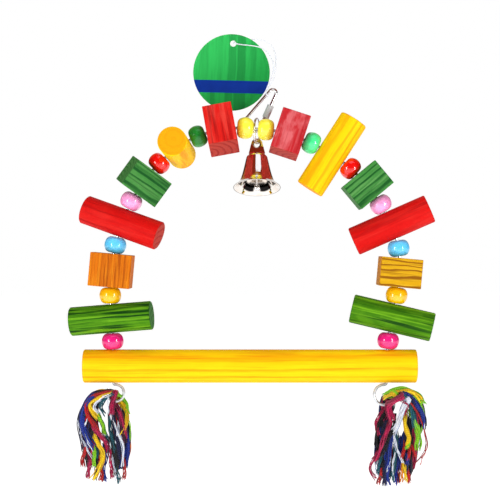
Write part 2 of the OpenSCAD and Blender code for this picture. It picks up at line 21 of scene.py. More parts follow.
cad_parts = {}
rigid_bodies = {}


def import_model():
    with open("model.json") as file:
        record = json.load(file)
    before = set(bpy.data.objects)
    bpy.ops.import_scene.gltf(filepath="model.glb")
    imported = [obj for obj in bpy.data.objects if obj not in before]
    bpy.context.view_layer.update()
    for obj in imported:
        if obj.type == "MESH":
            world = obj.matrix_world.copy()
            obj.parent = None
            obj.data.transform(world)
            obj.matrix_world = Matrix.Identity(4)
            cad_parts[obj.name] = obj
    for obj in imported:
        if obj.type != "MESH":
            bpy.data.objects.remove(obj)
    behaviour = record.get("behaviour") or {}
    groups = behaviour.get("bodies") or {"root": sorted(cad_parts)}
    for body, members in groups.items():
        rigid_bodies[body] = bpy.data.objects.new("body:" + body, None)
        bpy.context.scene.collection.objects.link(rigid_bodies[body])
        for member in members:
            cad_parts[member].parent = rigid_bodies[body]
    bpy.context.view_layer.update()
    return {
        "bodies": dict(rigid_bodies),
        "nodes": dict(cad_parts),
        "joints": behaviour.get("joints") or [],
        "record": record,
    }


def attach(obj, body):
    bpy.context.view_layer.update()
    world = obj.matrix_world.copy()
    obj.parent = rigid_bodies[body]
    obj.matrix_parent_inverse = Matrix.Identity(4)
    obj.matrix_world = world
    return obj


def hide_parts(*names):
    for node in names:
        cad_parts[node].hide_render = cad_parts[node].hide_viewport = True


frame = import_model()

LOG = logging.getLogger("bird_swing")

MM = 0.001
Colour = tuple[float, float, float, float]
Value = Union["Signal", float, Sequence[float]]
Numbers = tuple[float, ...]


def linear(red: int, green: int, blue: int) -> Colour:
    """Turn a screen colour into the linear colour that a shader takes.

    Args:
        red: Red from 0 to 255.
        green: Green from 0 to 255.
        blue: Blue from 0 to 255.

    Returns:
        The linear colour, opaque.
    """

    def one(level: int) -> float:
        """Give one channel's linear level."""
        share = level / 255
        return share / 12.92 if share <= 0.04045 else ((share + 0.055) / 1.055) ** 2.4

    return one(red), one(green), one(blue), 1.0


def mm(x: float, y: float, z: float) -> Vector:
    """Give a point that is written in millimetres as a vector in metres."""
    return Vector((x, y, z)) * MM


class Signal:
    """A value or colour inside a finish's node tree, with arithmetic."""

    def __init__(self, paint: "Paint", socket: NodeSocket) -> None:
        """Keep the socket and the paint that it belongs to."""
        self.paint = paint
        self.socket = socket

    def out(self, name: str) -> "Signal":
        """Give another output of the same node."""
        return Signal(self.paint, self.socket.node.outputs[name])

    def __add__(self, other: Value) -> "Signal":
        """Add."""
        return self.paint.math("ADD", self, other)

    def __radd__(self, other: Value) -> "Signal":
        """Add, with this one second."""
        return self.paint.math("ADD", other, self)

    def __sub__(self, other: Value) -> "Signal":
        """Subtract."""
        return self.paint.math("SUBTRACT", self, other)

    def __rsub__(self, other: Value) -> "Signal":
        """Subtract this one from the other."""
        return self.paint.math("SUBTRACT", other, self)

    def __mul__(self, other: Value) -> "Signal":
        """Multiply."""
        return self.paint.math("MULTIPLY", self, other)

    def __rmul__(self, other: Value) -> "Signal":
        """Multiply, with this one second."""
        return self.paint.math("MULTIPLY", other, self)

    def __truediv__(self, other: Value) -> "Signal":
        """Divide."""
        return self.paint.math("DIVIDE", self, other)

    def __rtruediv__(self, other: Value) -> "Signal":
        """Divide the other by this one."""
        return self.paint.math("DIVIDE", other, self)

    def __abs__(self) -> "Signal":
        """Drop the sign."""
        return self.paint.math("ABSOLUTE", self)


class Paint:
    """The node tree of one material or of the surroundings."""

    def __init__(self, name: str, owner: World | None = None) -> None:
        """Start an empty tree.

        Args:
            name: The material's name, where one is made.
            owner: The surroundings, where the tree is theirs.
        """
        self.material = owner or bpy.data.materials.new(name)
        self.material.use_nodes = True
        self.tree = self.material.node_tree
        self.tree.nodes.clear()

    def node(
        self,
        kind: str,
        inputs: dict[Union[str, int], Value] | None = None,
        out: Union[str, int] = 0,
        **settings: object,
    ) -> Signal:
        """Make one node, and join or set its inputs.

        Args:
            kind: The node's Blender type.
            inputs: What goes into it, by input name or number.
            out: Which output is wanted.
            settings: The node's own properties.

        Returns:
            The wanted output.
        """
        made = self.tree.nodes.new(kind)
        for name, value in settings.items():
            setattr(made, name, value)
        for key, value in (inputs or {}).items():
            if isinstance(value, Signal):
                self.tree.links.new(value.socket, made.inputs[key])
            else:
                made.inputs[key].default_value = value
        return Signal(self, made.outputs[out])

    def math(self, operation: str, *values: Value) -> Signal:
        """Do one sum of the Math node."""
        return self.node("ShaderNodeMath", dict(enumerate(values)), operation=operation)

    def split(self, vector: Signal) -> tuple[Signal, Signal, Signal]:
        """Take a vector apart into x, y and z."""
        x = self.node("ShaderNodeSeparateXYZ", {0: vector})
        return x, x.out("Y"), x.out("Z")

    def vector(self, x: Value, y: Value, z: Value) -> Signal:
        """Put a vector together."""
        return self.node("ShaderNodeCombineXYZ", {0: x, 1: y, 2: z})

    def place(self, middle: Vector, turn: Matrix) -> Signal:
        """Give the surface point in a piece's own frame.

        Args:
            middle: The piece's middle, in metres.
            turn: The piece's rotation.

        Returns:
            The point in millimetres from the piece's middle, along its own axes.
        """
        here = self.node("ShaderNodeTexCoord", out="Object")
        return self.node(
            "ShaderNodeMapping",
            {
                "Vector": here,
                "Location": middle,
                "Rotation": turn.to_euler("XYZ"),
                "Scale": (MM, MM, MM),
            },
            vector_type="TEXTURE",
        )

    def noise(
        self, vector: Signal, scale: float = 1.0, detail: float = 2.0, rough: float = 0.5
    ) -> Signal:
        """Give soft noise from 0 to 1 round 0.5.

        Args:
            vector: Where to read it.
            scale: Its scale.
            detail: Its octaves.
            rough: How strong the finer octaves are.

        Returns:
            The noise.
        """
        return self.node(
            "ShaderNodeTexNoise",
            {"Vector": vector, "Scale": scale, "Detail": detail, "Roughness": rough},
        )

    def fade(
        self, value: Value, low: float, high: float, start: float = 0.0, end: float = 1.0
    ) -> Signal:
        """Ease from one level to a second while a value rises.

        Args:
            value: What rises.
            low: Where the easing starts.
            high: Where it ends.
            start: The first level.
            end: The second level.

        Returns:
            The level.
        """
        return self.node(
            "ShaderNodeMapRange",
            {"Value": value, "From Min": low, "From Max": high, "To Min": start, "To Max": end},
            interpolation_type="SMOOTHSTEP",
        )

    def band(self, value: Value, up: float, full: float, down: float, gone: float) -> Signal:
        """Ease from 0 to 1 between up and full, and back between down and gone."""
        return self.fade(value, up, full) * self.fade(value, down, gone, 1.0, 0.0)

    def reach(self, a: Value, b: Value) -> Signal:
        """Give how far a point lies from a line, by its two distances at right angles."""
        return self.math("SQRT", self.math("POWER", a, 2.0) + self.math("POWER", b, 2.0))

    def mix(self, share: Value, first: Value, second: Value) -> Signal:
        """Mix two colours, by the share that the second has.

        Args:
            share: The second colour's share, which is kept between 0 and 1.
            first: The first colour.
            second: The second colour.

        Returns:
            The mixed colour.
        """
        return self.node(
            "ShaderNodeMix",
            {0: share, 6: first, 7: second},
            out=2,
            data_type="RGBA",
            clamp_factor=True,
        )

    def bump(self, height: Value, strength: float, distance: float) -> Signal:
        """Give a normal that follows a height, whose full range is a distance in metres."""
        return self.node(
            "ShaderNodeBump", {"Height": height, "Strength": strength, "Distance": distance}
        )

    def surface(
        self, colour: Signal, rough: Value, normal: Signal | None = None, **uniform: Value
    ) -> Material:
        """Close the material with a Principled shader.

        Args:
            colour: Its base colour.
            rough: Its roughness.
            normal: Its normal, where it has a relief.
            uniform: Its inputs that don't vary, with _ for each space in the name.

        Returns:
            The finished material.
        """
        inputs = {name.replace("_", " "): value for name, value in uniform.items()}
        inputs |= {"Base Color": colour, "Roughness": rough}
        if normal is not None:
            inputs["Normal"] = normal
        self.close("Material", self.node("ShaderNodeBsdfPrincipled", inputs))
        return self.material

    def close(self, kind: str, shader: Signal) -> None:
        """Join a shader to the output of a material or of the surroundings."""
        end = self.tree.nodes.new(f"ShaderNodeOutput{kind}")
        self.tree.links.new(shader.socket, end.inputs["Surface"])


@dataclass(frozen=True)
class Seat:
    """Where a threaded piece sits: its middle, the lean of its hole and its turn."""

    x: float
    z: float
    tilt: float
    spin: float
    y: float = -10.45

    def middle(self) -> Vector:
        """Give the middle in metres."""
        return mm(self.x, self.y, self.z)

    def turn(self) -> Matrix:
        """Give the rotation from the piece's own frame, whose z runs along its hole."""
        return Matrix.Rotation(math.radians(self.tilt), 3, "Y") @ Matrix.Rotation(
            math.radians(self.spin), 3, "Z"
        )


SEATS = {
    "bead_left_yellow": Seat(-21.28, -29.83, 94.16, 0),
    "block_left_red": Seat(-39.82, -30.84, 79.66, -17.7),
    "bead_left_green": Seat(-57.44, -36.13, 66.91, 0),
    "dowel_left_yellow": Seat(-73.38, -45.13, 54.16, 83.5),
    "bead_left_red": Seat(-87.07, -56.76, 45.16, 0),
    "block_left_green": Seat(-98.84, -70.47, 36.16, 18.3),
    "bead_left_pink": Seat(-108.39, -85.72, 27.91, 0),
    "dowel_left_red": Seat(-115.60, -102.10, 19.66, -12.3),
    "bead_left_blue": Seat(-120.52, -119.21, 12.41, 0),
    "block_left_amber": Seat(-123.50, -138.49, 5.16, 0),
    "bead_left_amber": Seat(-124.39, -157.78, 0.16, 0),
    "dowel_left_green": Seat(-123.68, -175.36, -4.84, -5.7),
    "bead_left_magenta": Seat(-122.57, -192.70, -2.42, 0),
    "bead_right_yellow": Seat(-5.42, -30.99, -85.84, 0),
    "block_right_red": Seat(12.74, -34.57, -71.84, 7.2),
    "bead_right_mint": Seat(29.37, -41.21, -64.59, 0),
    "dowel_right_yellow": Seat(44.94, -49.86, -57.34, 0),
    "bead_right_red": Seat(59.26, -60.66, -48.59, 0),
    "block_right_green": Seat(71.84, -73.59, -39.84, 0),
    "bead_right_pink": Seat(82.37, -88.16, -31.84, 0),
    "dowel_right_red": Seat(90.72, -103.97, -23.84, -6),
    "bead_right_blue": Seat(95.99, -121.66, -9.34, 0),
    "block_right_amber": Seat(96.67, -140.21, 5.16, 0),
    "bead_right_amber": Seat(94.47, -157.68, 9.16, 0),
    "dowel_right_green": Seat(91.08, -174.86, 13.16, -6.7),
    "bead_right_magenta": Seat(88.04, -192.35, 6.58, 0),
    "perch": Seat(-17.62, -211.76, 0, 0),
}


class Grain(Enum):
    """Which of a piece's own axes the wood's grain follows."""

    ALONG = (0, 1, 2)
    UPRIGHT = (2, 0, 1)


@dataclass(frozen=True)
class StainedWood:
    """Dyed softwood: growth rings, fibre, uneven stain and darker ends."""

    name: str
    half_length: float
    seed: float
    stain: Colour
    deep: Colour
    pale: Colour
    end: Colour
    pitch: float = 5.0
    pith: tuple[float, float] = (6.0, -16.0)
    ring: float = 0.25
    fibre: float = 0.65
    lines: float = 0.3
    streak: float = 0.4
    streak_width: float = 4.0
    glow: float = 0.5
    blotch: float = 0.2
    waver: float = 3.0
    grain: Grain = Grain.ALONG
    holes: tuple[float, ...] = (0.0,)
    rough: float = 0.62
    # Noises: length along the grain and width across it in mm, octaves, shift.
    bend_noise: Numbers = (46.0, 13.0, 2.0, 0.0)
    sway_noise: Numbers = (38.0, 11.0, 2.0, 7.3)
    drift_noise: Numbers = (160.0, 30.0, 1.0, 3.1)
    fibre_noise: Numbers = (15.0, 0.6, 3.0, 1.7)
    line_noise: Numbers = (60.0, 1.1, 2.0, 4.4)
    blotch_noise: Numbers = (15.0, 8.0, 3.0, 9.4)
    late_band: Numbers = (0.45, 0.86, 0.88, 1.0)
    hole_stain: Numbers = (2.5, 3.5, 0.55, 0.0)
    relief: float = 0.0002

    def material(self, seat: Seat) -> Material:
        """Paint the wood in a piece's own frame.

        Args:
            seat: Where the piece sits.

        Returns:
            The material.
        """
        p = Paint(self.name)
        own = p.split(p.place(seat.middle(), seat.turn()))
        along, a, b = (own[i] for i in self.grain.value)
        apart = self.seed * 17.0

        def read(length: float, width: float, detail: float, shift: float) -> Signal:
            """Give noise of a length along the grain and a width across it."""
            where = (along / length + (apart + shift), a / width + shift, b / width - apart)
            return p.noise(p.vector(*where), 1.0, detail, 0.55)

        bend = (read(*self.bend_noise) - 0.5) * self.waver
        sway = (read(*self.sway_noise) - 0.5) * self.waver
        out = p.reach(a - self.pith[0] + bend, b - self.pith[1] + sway)
        year = p.math("FRACT", out / self.pitch + read(*self.drift_noise))
        late = p.band(year, *self.late_band)
        fibre = read(*self.fibre_noise)
        streak = read(70.0, self.streak_width, 2.0, 5.2)
        line = p.fade(read(*self.line_noise), 0.58, 0.68)
        light = read(55.0, self.streak_width * 0.7, 2.0, 12.8)
        blotch = read(*self.blotch_noise)
        dark = (
            late * self.ring
            + p.fade(streak, 0.46, 0.68) * self.streak
            + (fibre - 0.5) * self.fibre
            + line * self.lines
        )
        colour = p.mix(p.fade(light, 0.48, 0.68) * self.glow, self.stain, self.pale)
        colour = p.mix(p.fade(blotch, 0.45, 0.66) * self.blotch, colour, self.pale)
        colour = p.mix(p.fade(dark, 0.0, 1.0), colour, self.deep)
        tip = p.fade(abs(along), self.half_length - 0.35, self.half_length - 0.05)
        rings = p.mix(p.fade(late + (fibre - 0.5) * 0.5, 0.0, 1.0) * 0.6, self.end, self.deep)
        colour = p.mix(tip, colour, rings)
        for x in self.holes:
            rim = p.fade(p.reach(own[0] - x, own[1]), *self.hole_stain)
            colour = p.mix(rim, colour, self.deep)
        height = (fibre - 0.5) * 0.7 - late * 0.5 + (streak - 0.5) * 0.3
        rough = (fibre - 0.5) * 0.2 + late * 0.06 + self.rough
        return p.surface(
            colour, rough, p.bump(height, 0.4, self.relief), Specular_IOR_Level=0.1
        )


@dataclass(frozen=True)
class BeadLacquer:
    """Gloss paint on a turned bead: pooled round the hole, slightly uneven."""

    name: str
    colour: Colour
    pooled: Colour
    rough: float = 0.14
    coat: float = 0.55
    pool: Numbers = (2.1, 3.6, 0.7, 0.0)
    relief: float = 0.0004

    def material(self, seat: Seat) -> Material:
        """Paint the lacquer in a bead's own frame.

        Args:
            seat: Where the bead sits.

        Returns:
            The material.
        """
        p = Paint(self.name)
        here = p.place(seat.middle(), seat.turn())
        x, y, z = p.split(here)
        from_axis = p.reach(x, y)
        cloud = p.noise(here, 0.22)
        turned = p.noise(p.vector(from_axis * 0.25, z * 1.6, seat.x))
        uneven = p.fade(cloud, 0.35, 0.75) * 0.16 + p.fade(turned, 0.5, 0.8) * 0.1
        shade = p.mix(uneven, self.colour, self.pooled)
        return p.surface(
            p.mix(p.fade(from_axis, *self.pool), shade, self.pooled),
            p.noise(here, 2.2) * 0.1 + self.rough,
            p.bump(turned * 0.5 + cloud * 0.5, 0.12, self.relief),
            Coat_Weight=self.coat,
            Coat_Roughness=0.05,
        )


@dataclass(frozen=True)
class PlatedMetal:
    """Bright plating over wire or pressed sheet, with fine rubs and a little tarnish."""

    name: str
    bright: Colour
    tarnish: Colour
    rough: float = 0.1
    rub: float = 0.08
    cloud_share: float = 0.35
    metallic: float = 1.0
    relief: float = 0.0001

    def material(self) -> Material:
        """Paint the plating.

        Returns:
            The material.
        """
        p = Paint(self.name)
        here = p.node("ShaderNodeTexCoord", out="Object")
        cloud = p.noise(here, 160.0, 3.0)
        rubs = p.noise(here, 2600.0, 3.0, 0.7)
        pits = p.noise(here, 900.0)
        return p.surface(
            p.mix(p.fade(cloud, 0.45, 0.8) * self.cloud_share, self.bright, self.tarnish),
            p.fade(rubs, 0.4, 0.8) * self.rub + self.rough,
            p.bump(pits * 0.6 + rubs * 0.4, 0.04, self.relief),
            Metallic=self.metallic,
        )


@dataclass(frozen=True)
class BellPlate:
    """Plating on the bell: bright, with a painted dark reflection round its rim, a darker seam at
    the collar, a painted warm reflection on its crown and painted shade in its mouth.
    """

    name: str = "bell_plate"
    bright: Colour = linear(232, 226, 220)
    # The crown's painted warm reflection, which also tints the plating's random clouds.
    warm_tone_and_reflection: Colour = linear(206, 176, 150)
    # The rim's painted dark reflection, and the darker line of the collar's seam.
    line: Colour = linear(74, 62, 54)
    # The painted shade inside the bell's mouth.
    throat_shade: Colour = linear(26, 24, 24)
    pivot: Vector = mm(-12.304, -5.225, -41.410)
    tip: float = -18.6
    crown_drop: float = 0.7
    collar_z: float = -9.4
    rim_r: float = 18.0
    rim_z: float = -35.4
    roof_z: float = -11.9
    roof_r: float = 7.8
    spread: float = 5.2
    flare: float = 4.4
    flare_power: float = 6.0
    # Where the painted shade inside the mouth comes and goes, as a dark patch and an upper shade:
    # the patch by the way down from the roof, with a wave, and by the degrees round the axis, the
    # shade by the way down. The crown's painted warm reflection, the rim's painted dark reflection
    # and the seam's line are in mm.
    patch_down: Numbers = (0.62, 0.7, 0.86, 0.9)
    patch_wave: Numbers = (0.07, 0.035)
    patch_round: Numbers = (118.0, 134.0, 166.0, 174.0)
    shade_down: Numbers = (0.02, 0.06, 0.42, 0.5)
    crown_rise: Numbers = (1.0, 2.4)
    rim_in: Numbers = (0.75, 0.3)
    rim_rise: Numbers = (3.0, 1.5)
    seam: Numbers = (0.15, 0.45)
    relief: float = 0.0001

    def material(self) -> Material:
        """Paint the plating in the tipped bell's own frame.

        Returns:
            The material.
        """
        p = Paint(self.name)
        here = p.place(self.pivot, Matrix.Rotation(math.radians(self.tip), 3, "X"))
        x, y, low = p.split(here)
        z = low + self.crown_drop
        out = p.reach(x, y)
        cloud = p.noise(here, 0.16, 3.0)
        rubs = p.noise(p.vector(out * 0.3, z * 3.0, 0.0), 1.0, 3.0, 0.6)
        # The crown gets a painted warm reflection.
        crown = p.fade(z, *(self.collar_z + rise for rise in self.crown_rise))
        colour = p.mix(p.fade(cloud, 0.45, 0.75) * 0.3 + crown * 0.5, self.bright, self.warm_tone_and_reflection)
        # A dark line round the rim is a painted dark reflection.
        edge = p.fade(out, *(self.rim_r - part for part in self.rim_in))
        edge = edge * p.fade(z, *(self.rim_z + rise for rise in self.rim_rise))
        seam = p.fade(abs(z - self.collar_z), *self.seam, 1.0, 0.0)
        down = (self.roof_z - z) * (1.0 / (self.roof_z - self.rim_z))
        wall = down * self.spread + p.math("POWER", down, self.flare_power) * self.flare
        # Painted shade inside the mouth: a dark patch in curved streaks, and shade under the roof.
        inside = p.fade(out - wall, self.roof_r - 0.1, self.roof_r + 0.1, 1.0, 0.0)
        round_axis = abs(p.math("ARCTAN2", x, y * -1.0)) * (180 / math.pi)
        rate, size = self.patch_wave
        arc = down + p.math("SINE", round_axis * rate) * size
        mouth_shade_patch = p.band(arc, *self.patch_down) * p.band(round_axis, *self.patch_round)
        shade = p.band(down, *self.shade_down) * 0.85
        colour = p.mix(inside * p.math("MAXIMUM", mouth_shade_patch, shade), colour, self.throat_shade)
        colour = p.mix(edge * 0.85, colour, self.line)
        colour = p.mix(seam * 0.6, colour, self.line)
        rough = p.fade(rubs, 0.45, 0.8) * 0.05 + 0.05
        return p.surface(colour, rough, p.bump(rubs, 0.03, self.relief), Metallic=1.0)


@dataclass(frozen=True)
class Stripe:
    """A soft darker stripe on the card: where it starts and ends, and how strong it is."""

    start: float
    end: float
    strength: float

    def bounds(self, soft: float) -> Numbers:
        """Give where it comes and goes, each over twice this softness."""
        return self.start - soft, self.start + soft, self.end - soft, self.end + soft


@dataclass(frozen=True)
class PrintedCard:
    """Laminated card printed in soft green stripes, with a plain blue band across."""

    name: str = "printed_card"
    fresh: Colour = linear(46, 178, 84)
    leaf: Colour = linear(26, 146, 62)
    shade: Colour = linear(10, 98, 42)
    band: Colour = linear(4, 44, 134)
    band_deep: Colour = linear(3, 30, 106)
    core: Colour = linear(240, 240, 235)
    seat: Seat = Seat(-32.05, 15.79, 3.4, 0, y=11.97)
    radius: float = 30.0
    hole_up: float = 22.6
    hole_r: float = 2.3
    band_z: float = -11.2
    band_half: float = 4.9
    band_slope: float = 0.034
    soft: float = 0.5
    relief: float = 0.0001
    upper: tuple[Stripe, ...] = (
        Stripe(-24.0, -18.0, 0.15),
        Stripe(-11.0, -7.0, 0.15),
        Stripe(-2.7, 3.4, 0.4),
        Stripe(4.2, 10.7, 0.5),
        Stripe(14.5, 19.0, 0.25),
    )
    lower: tuple[Stripe, ...] = (
        Stripe(-16.4, -12.6, 0.45),
        Stripe(-5.0, 1.1, 0.5),
        Stripe(1.9, 11.1, 0.6),
    )

    def material(self) -> Material:
        """Paint the print in the card's own frame, the same on both faces.

        Returns:
            The material.
        """
        p = Paint(self.name)
        here = p.place(self.seat.middle(), self.seat.turn())
        x, y, z = p.split(here)
        stray = (p.noise(p.vector(0.0, z * 0.05, 0.0), detail=1.0) - 0.5) * 1.6
        across = x + z * 0.03 + stray
        green = p.mix(p.fade(x * 0.5 - z * 0.85, -26.0, 20.0), self.fresh, self.leaf)
        above = p.fade(z, self.band_z - self.soft, self.band_z + self.soft)
        for stripes, where in ((self.upper, above), (self.lower, 1 - above)):
            for stripe in stripes:
                inside = p.band(across, *stripe.bounds(self.soft))
                green = p.mix(inside * where * stripe.strength, green, self.shade)
        tone = p.noise(p.vector(x * 0.5, z * 0.04, 4.0))
        green = p.mix(p.fade(tone, 0.45, 0.7) * 0.18, green, self.shade)
        rise = abs(z - x * self.band_slope - self.band_z)
        inside = p.fade(rise, self.band_half - 0.12, self.band_half + 0.08, 1.0, 0.0)
        ink = p.noise(here, 0.12)
        blue = p.mix(p.fade(ink, 0.3, 0.8) * 0.25, self.band, self.band_deep)
        printed = p.mix(inside, green, blue)
        cut = p.math(
            "MAXIMUM",
            p.fade(p.reach(x, z), self.radius - 0.07, self.radius - 0.03),
            p.fade(p.reach(x, z - self.hole_up), self.hole_r + 0.03, self.hole_r + 0.1, 1.0, 0.0),
        )
        pulp = p.noise(here, 3.0, 3.0)
        return p.surface(
            p.mix(cut, printed, self.core),
            cut * 0.4 + pulp * 0.06 + 0.35,
            p.bump(pulp, 0.1, self.relief),
            Specular_IOR_Level=0.15,
            Coat_Weight=0.05,
            Coat_Roughness=0.12,
        )


@dataclass(frozen=True)
class YarnDye:
    """Dyed cotton yarn: two turned plies with painted shade in their grooves and along each ply's
    sides, and a fibrous surface.
    """

    name: str
    colour: Colour
    # The darker colour of the painted groove and side shade, and of darker fibres and tone.
    groove_shade_and_tone: Colour
    lay_pitch: float = 3.4
    # How strongly each ply's sides get painted shade.
    shade: float = 0.9
    relief: float = 0.0003

    def material(self) -> Material:
        """Paint the yarn from its own lay, which each strand carries as an attribute.

        Returns:
            The material.
        """
        p = Paint(self.name)
        lay = p.node("ShaderNodeAttribute", out="Vector", attribute_name="lay")
        c, s, along = p.split(lay)
        angle = p.math("ARCTAN2", s, c)
        twist = p.math("SINE", angle * 2.0 + along * (2 * math.pi / self.lay_pitch * 2))
        fuzz = p.noise(p.vector(c * 2.0, s * 2.0, along * 1.8), detail=4.0, rough=0.7)
        # How near a strand lies to its ply's side, where painted shade goes.
        rim = p.node("ShaderNodeAttribute", out="Fac", attribute_name="rim")
        tone = p.noise(p.vector(along * 0.06, 0.0, 0.0), detail=1.0)
        colour = self.colour
        # Painted shade in the twist's grooves and at the ply's sides, with darker fibres and
        # random tone.
        for share in (
            p.fade(twist, 0.1, -1.0) * 0.55,
            p.fade(fuzz, 0.5, 0.85) * 0.35,
            p.fade(tone, 0.5, 0.8) * 0.25,
            p.fade(rim, 0.35, 0.95) * self.shade,
        ):
            colour = p.mix(share, colour, self.groove_shade_and_tone)
        return p.surface(
            colour,
            fuzz * 0.2 + 0.72,
            p.bump(twist * 0.35 + fuzz * 0.65, 0.6, self.relief),
            Specular_IOR_Level=0.2,
            Sheen_Weight=0.25,
            Sheen_Roughness=0.5,
        )


WOOD_RED = dict(
    stain=linear(202, 12, 9), deep=linear(144, 5, 8), pale=linear(218, 44, 36),
    end=linear(174, 52, 40), fibre=0.6, ring=0.15, streak=0.4, glow=0.4,
)
WOOD_GREEN = dict(
    stain=linear(68, 130, 8), deep=linear(10, 58, 6), pale=linear(108, 168, 26),
    end=linear(52, 110, 40), streak=0.95, glow=0.95, streak_width=3.2,
)
WOOD_GREEN_BLOCK = dict(
    stain=linear(58, 126, 54), deep=linear(18, 78, 28), pale=linear(98, 154, 84),
    end=linear(60, 118, 56), ring=0.8, pitch=3.4, streak=0.5, glow=0.6, lines=0.4,
)
WOOD_YELLOW = dict(
    stain=linear(245, 196, 2), deep=linear(230, 148, 2), pale=linear(250, 214, 12),
    end=linear(242, 156, 4), fibre=0.4, streak=0.25, ring=0.55, lines=0.4,
)
WOOD_AMBER = dict(
    stain=linear(204, 152, 8), deep=linear(138, 84, 4), pale=linear(222, 178, 40),
    end=linear(192, 126, 12),
)

DOWEL_HALF, BLOCK_HALF, PERCH_HALF = 31.5, 15.75, 127.15


def wood(name: str, half: float, seed: float, kind: dict, **own: object) -> StainedWood:
    """Give a piece's wood: the looks of its kind, and over them those of its own."""
    return StainedWood(name, half, seed, **(kind | own))


WOODS = {
    "block_left_red": wood(
        "red_block_left", BLOCK_HALF, 1.0, WOOD_RED, streak=0.55,
        stain=linear(208, 26, 20), deep=linear(132, 5, 8), pale=linear(226, 82, 70),
    ),
    "block_right_red": wood(
        "red_block_right", BLOCK_HALF, 2.0, WOOD_RED, blotch=0.95,
        stain=linear(182, 34, 40), deep=linear(140, 14, 22), pale=linear(206, 98, 102),
    ),
    "dowel_left_red": wood("red_dowel_left", DOWEL_HALF, 3.0, WOOD_RED),
    "dowel_right_red": wood("red_dowel_right", DOWEL_HALF, 4.0, WOOD_RED),
    "block_left_green": wood("green_block_left", BLOCK_HALF, 5.0, WOOD_GREEN_BLOCK),
    "block_right_green": wood("green_block_right", BLOCK_HALF, 6.0, WOOD_GREEN_BLOCK),
    "dowel_left_green": wood("green_dowel_left", DOWEL_HALF, 7.0, WOOD_GREEN),
    "dowel_right_green": wood(
        "green_dowel_right", DOWEL_HALF, 8.0, WOOD_GREEN, streak=0.65, blotch=0.3,
        stain=linear(60, 118, 6),
    ),
    "dowel_left_yellow": wood(
        "yellow_dowel_left", DOWEL_HALF, 9.0, WOOD_YELLOW, pith=(1.0, 2.0)
    ),
    "dowel_right_yellow": wood("yellow_dowel_right", DOWEL_HALF, 10.0, WOOD_YELLOW),
    "block_left_amber": wood(
        "amber_block_left", 12.7, 11.0, WOOD_AMBER, grain=Grain.UPRIGHT, pitch=2.4, ring=0.4,
        fibre=1.4, lines=0.5,
        stain=linear(202, 104, 4), deep=linear(150, 66, 2), pale=linear(220, 140, 26),
    ),
    "block_right_amber": wood(
        "amber_block_right", BLOCK_HALF, 12.0, WOOD_AMBER, ring=0.95, pitch=2.8, waver=4.5
    ),
    "perch": wood(
        "perch_wood", PERCH_HALF, 13.0, WOOD_YELLOW, holes=(-104.55, 104.55), pitch=5.5,
        waver=1.6, streak_width=1.8,
    ),
}

LACQUERS = {
    name: BeadLacquer(f"lacquer_{name}", linear(*colour), linear(*pooled), **own)
    for name, colour, pooled, own in (
        ("magenta", (232, 26, 122), (182, 10, 84), {}),
        ("amber", (252, 190, 8), (238, 144, 4), {}),
        ("blue", (96, 206, 255), (36, 152, 232), {}),
        ("pink", (252, 162, 214), (238, 122, 188), {}),
        ("red", (240, 8, 4), (172, 4, 3), {}),
        ("green", (16, 140, 44), (8, 96, 30), {"rough": 0.3, "coat": 0.2}),
        ("mint", (70, 232, 144), (32, 184, 98), {}),
        ("yellow", (255, 244, 70), (248, 206, 20), {}),
    )
}

NICKEL = PlatedMetal("bright_nickel", linear(228, 228, 230), linear(150, 146, 140))
DRAWN_WIRE = PlatedMetal(
    "drawn_wire", linear(214, 218, 224), linear(140, 144, 150), rough=0.2, metallic=0.4
)
ZINC = PlatedMetal(
    "satin_zinc", linear(206, 210, 210), linear(168, 170, 168), rough=0.3, rub=0.1,
    metallic=0.3,
)

DYES = {
    name: YarnDye(f"yarn_{name}", linear(*colour), linear(*groove_shade_and_tone))
    for name, colour, groove_shade_and_tone in (
        ("red", (196, 8, 8), (92, 2, 4)),
        ("magenta", (190, 16, 80), (98, 6, 42)),
        ("orange", (232, 138, 10), (160, 72, 4)),
        ("yellow", (246, 212, 8), (190, 138, 2)),
        ("lime", (146, 214, 24), (70, 138, 14)),
        ("teal", (6, 92, 106), (2, 42, 56)),
        ("blue", (12, 46, 150), (4, 16, 76)),
        ("navy", (12, 18, 70), (4, 6, 32)),
        ("black", (14, 12, 20), (3, 3, 6)),
        ("plum", (66, 12, 46), (28, 4, 20)),
        ("white", (242, 245, 250), (160, 172, 200)),
    )
}


def smooth_line(route: Sequence[Vector], steps: int) -> list[Vector]:
    """Give the points of a smooth curve through a route, as the source does.

    Args:
        route: The points that it passes through, of any size.
        steps: How many points a stretch gets.

    Returns:
        The curve's points, the last of the route included.
    """
    last = len(route) - 1
    line = []
    for i in range(last):
        a, b, c, d = route[max(i - 1, 0)], route[i], route[i + 1], route[min(i + 2, last)]
        for j in range(steps):
            t = j / steps
            bend = (2 * a - 5 * b + 4 * c - d) * t * t + (3 * b - 3 * c + d - a) * t**3
            line.append(0.5 * (2 * b + (c - a) * t + bend))
    line.append(route[last].copy())
    return line


def length_of(line: Sequence[Vector]) -> float:
    """Give the length of a line of points."""
    return sum((b - a).length for a, b in zip(line, line[1:]))


def frames_along(line: Sequence[Vector]) -> list[Matrix]:
    """Carry a square frame along a line without twist.

    Args:
        line: The points.

    Returns:
        A frame at each point, whose z looks along the line.
    """
    frames = []
    side = Vector((0.0, 1.0, 0.0))
    last = len(line) - 1
    for i, point in enumerate(line):
        ahead = (line[min(i + 1, last)] - line[max(i - 1, 0)]).normalized()
        side = side - side.dot(ahead) * ahead
        if side.length < 1e-6:
            side = ahead.orthogonal()
        side.normalize()
        other = ahead.cross(side)
        frames.append(
            Matrix.Translation(point) @ Matrix((side, other, ahead)).transposed().to_4x4()
        )
    return frames


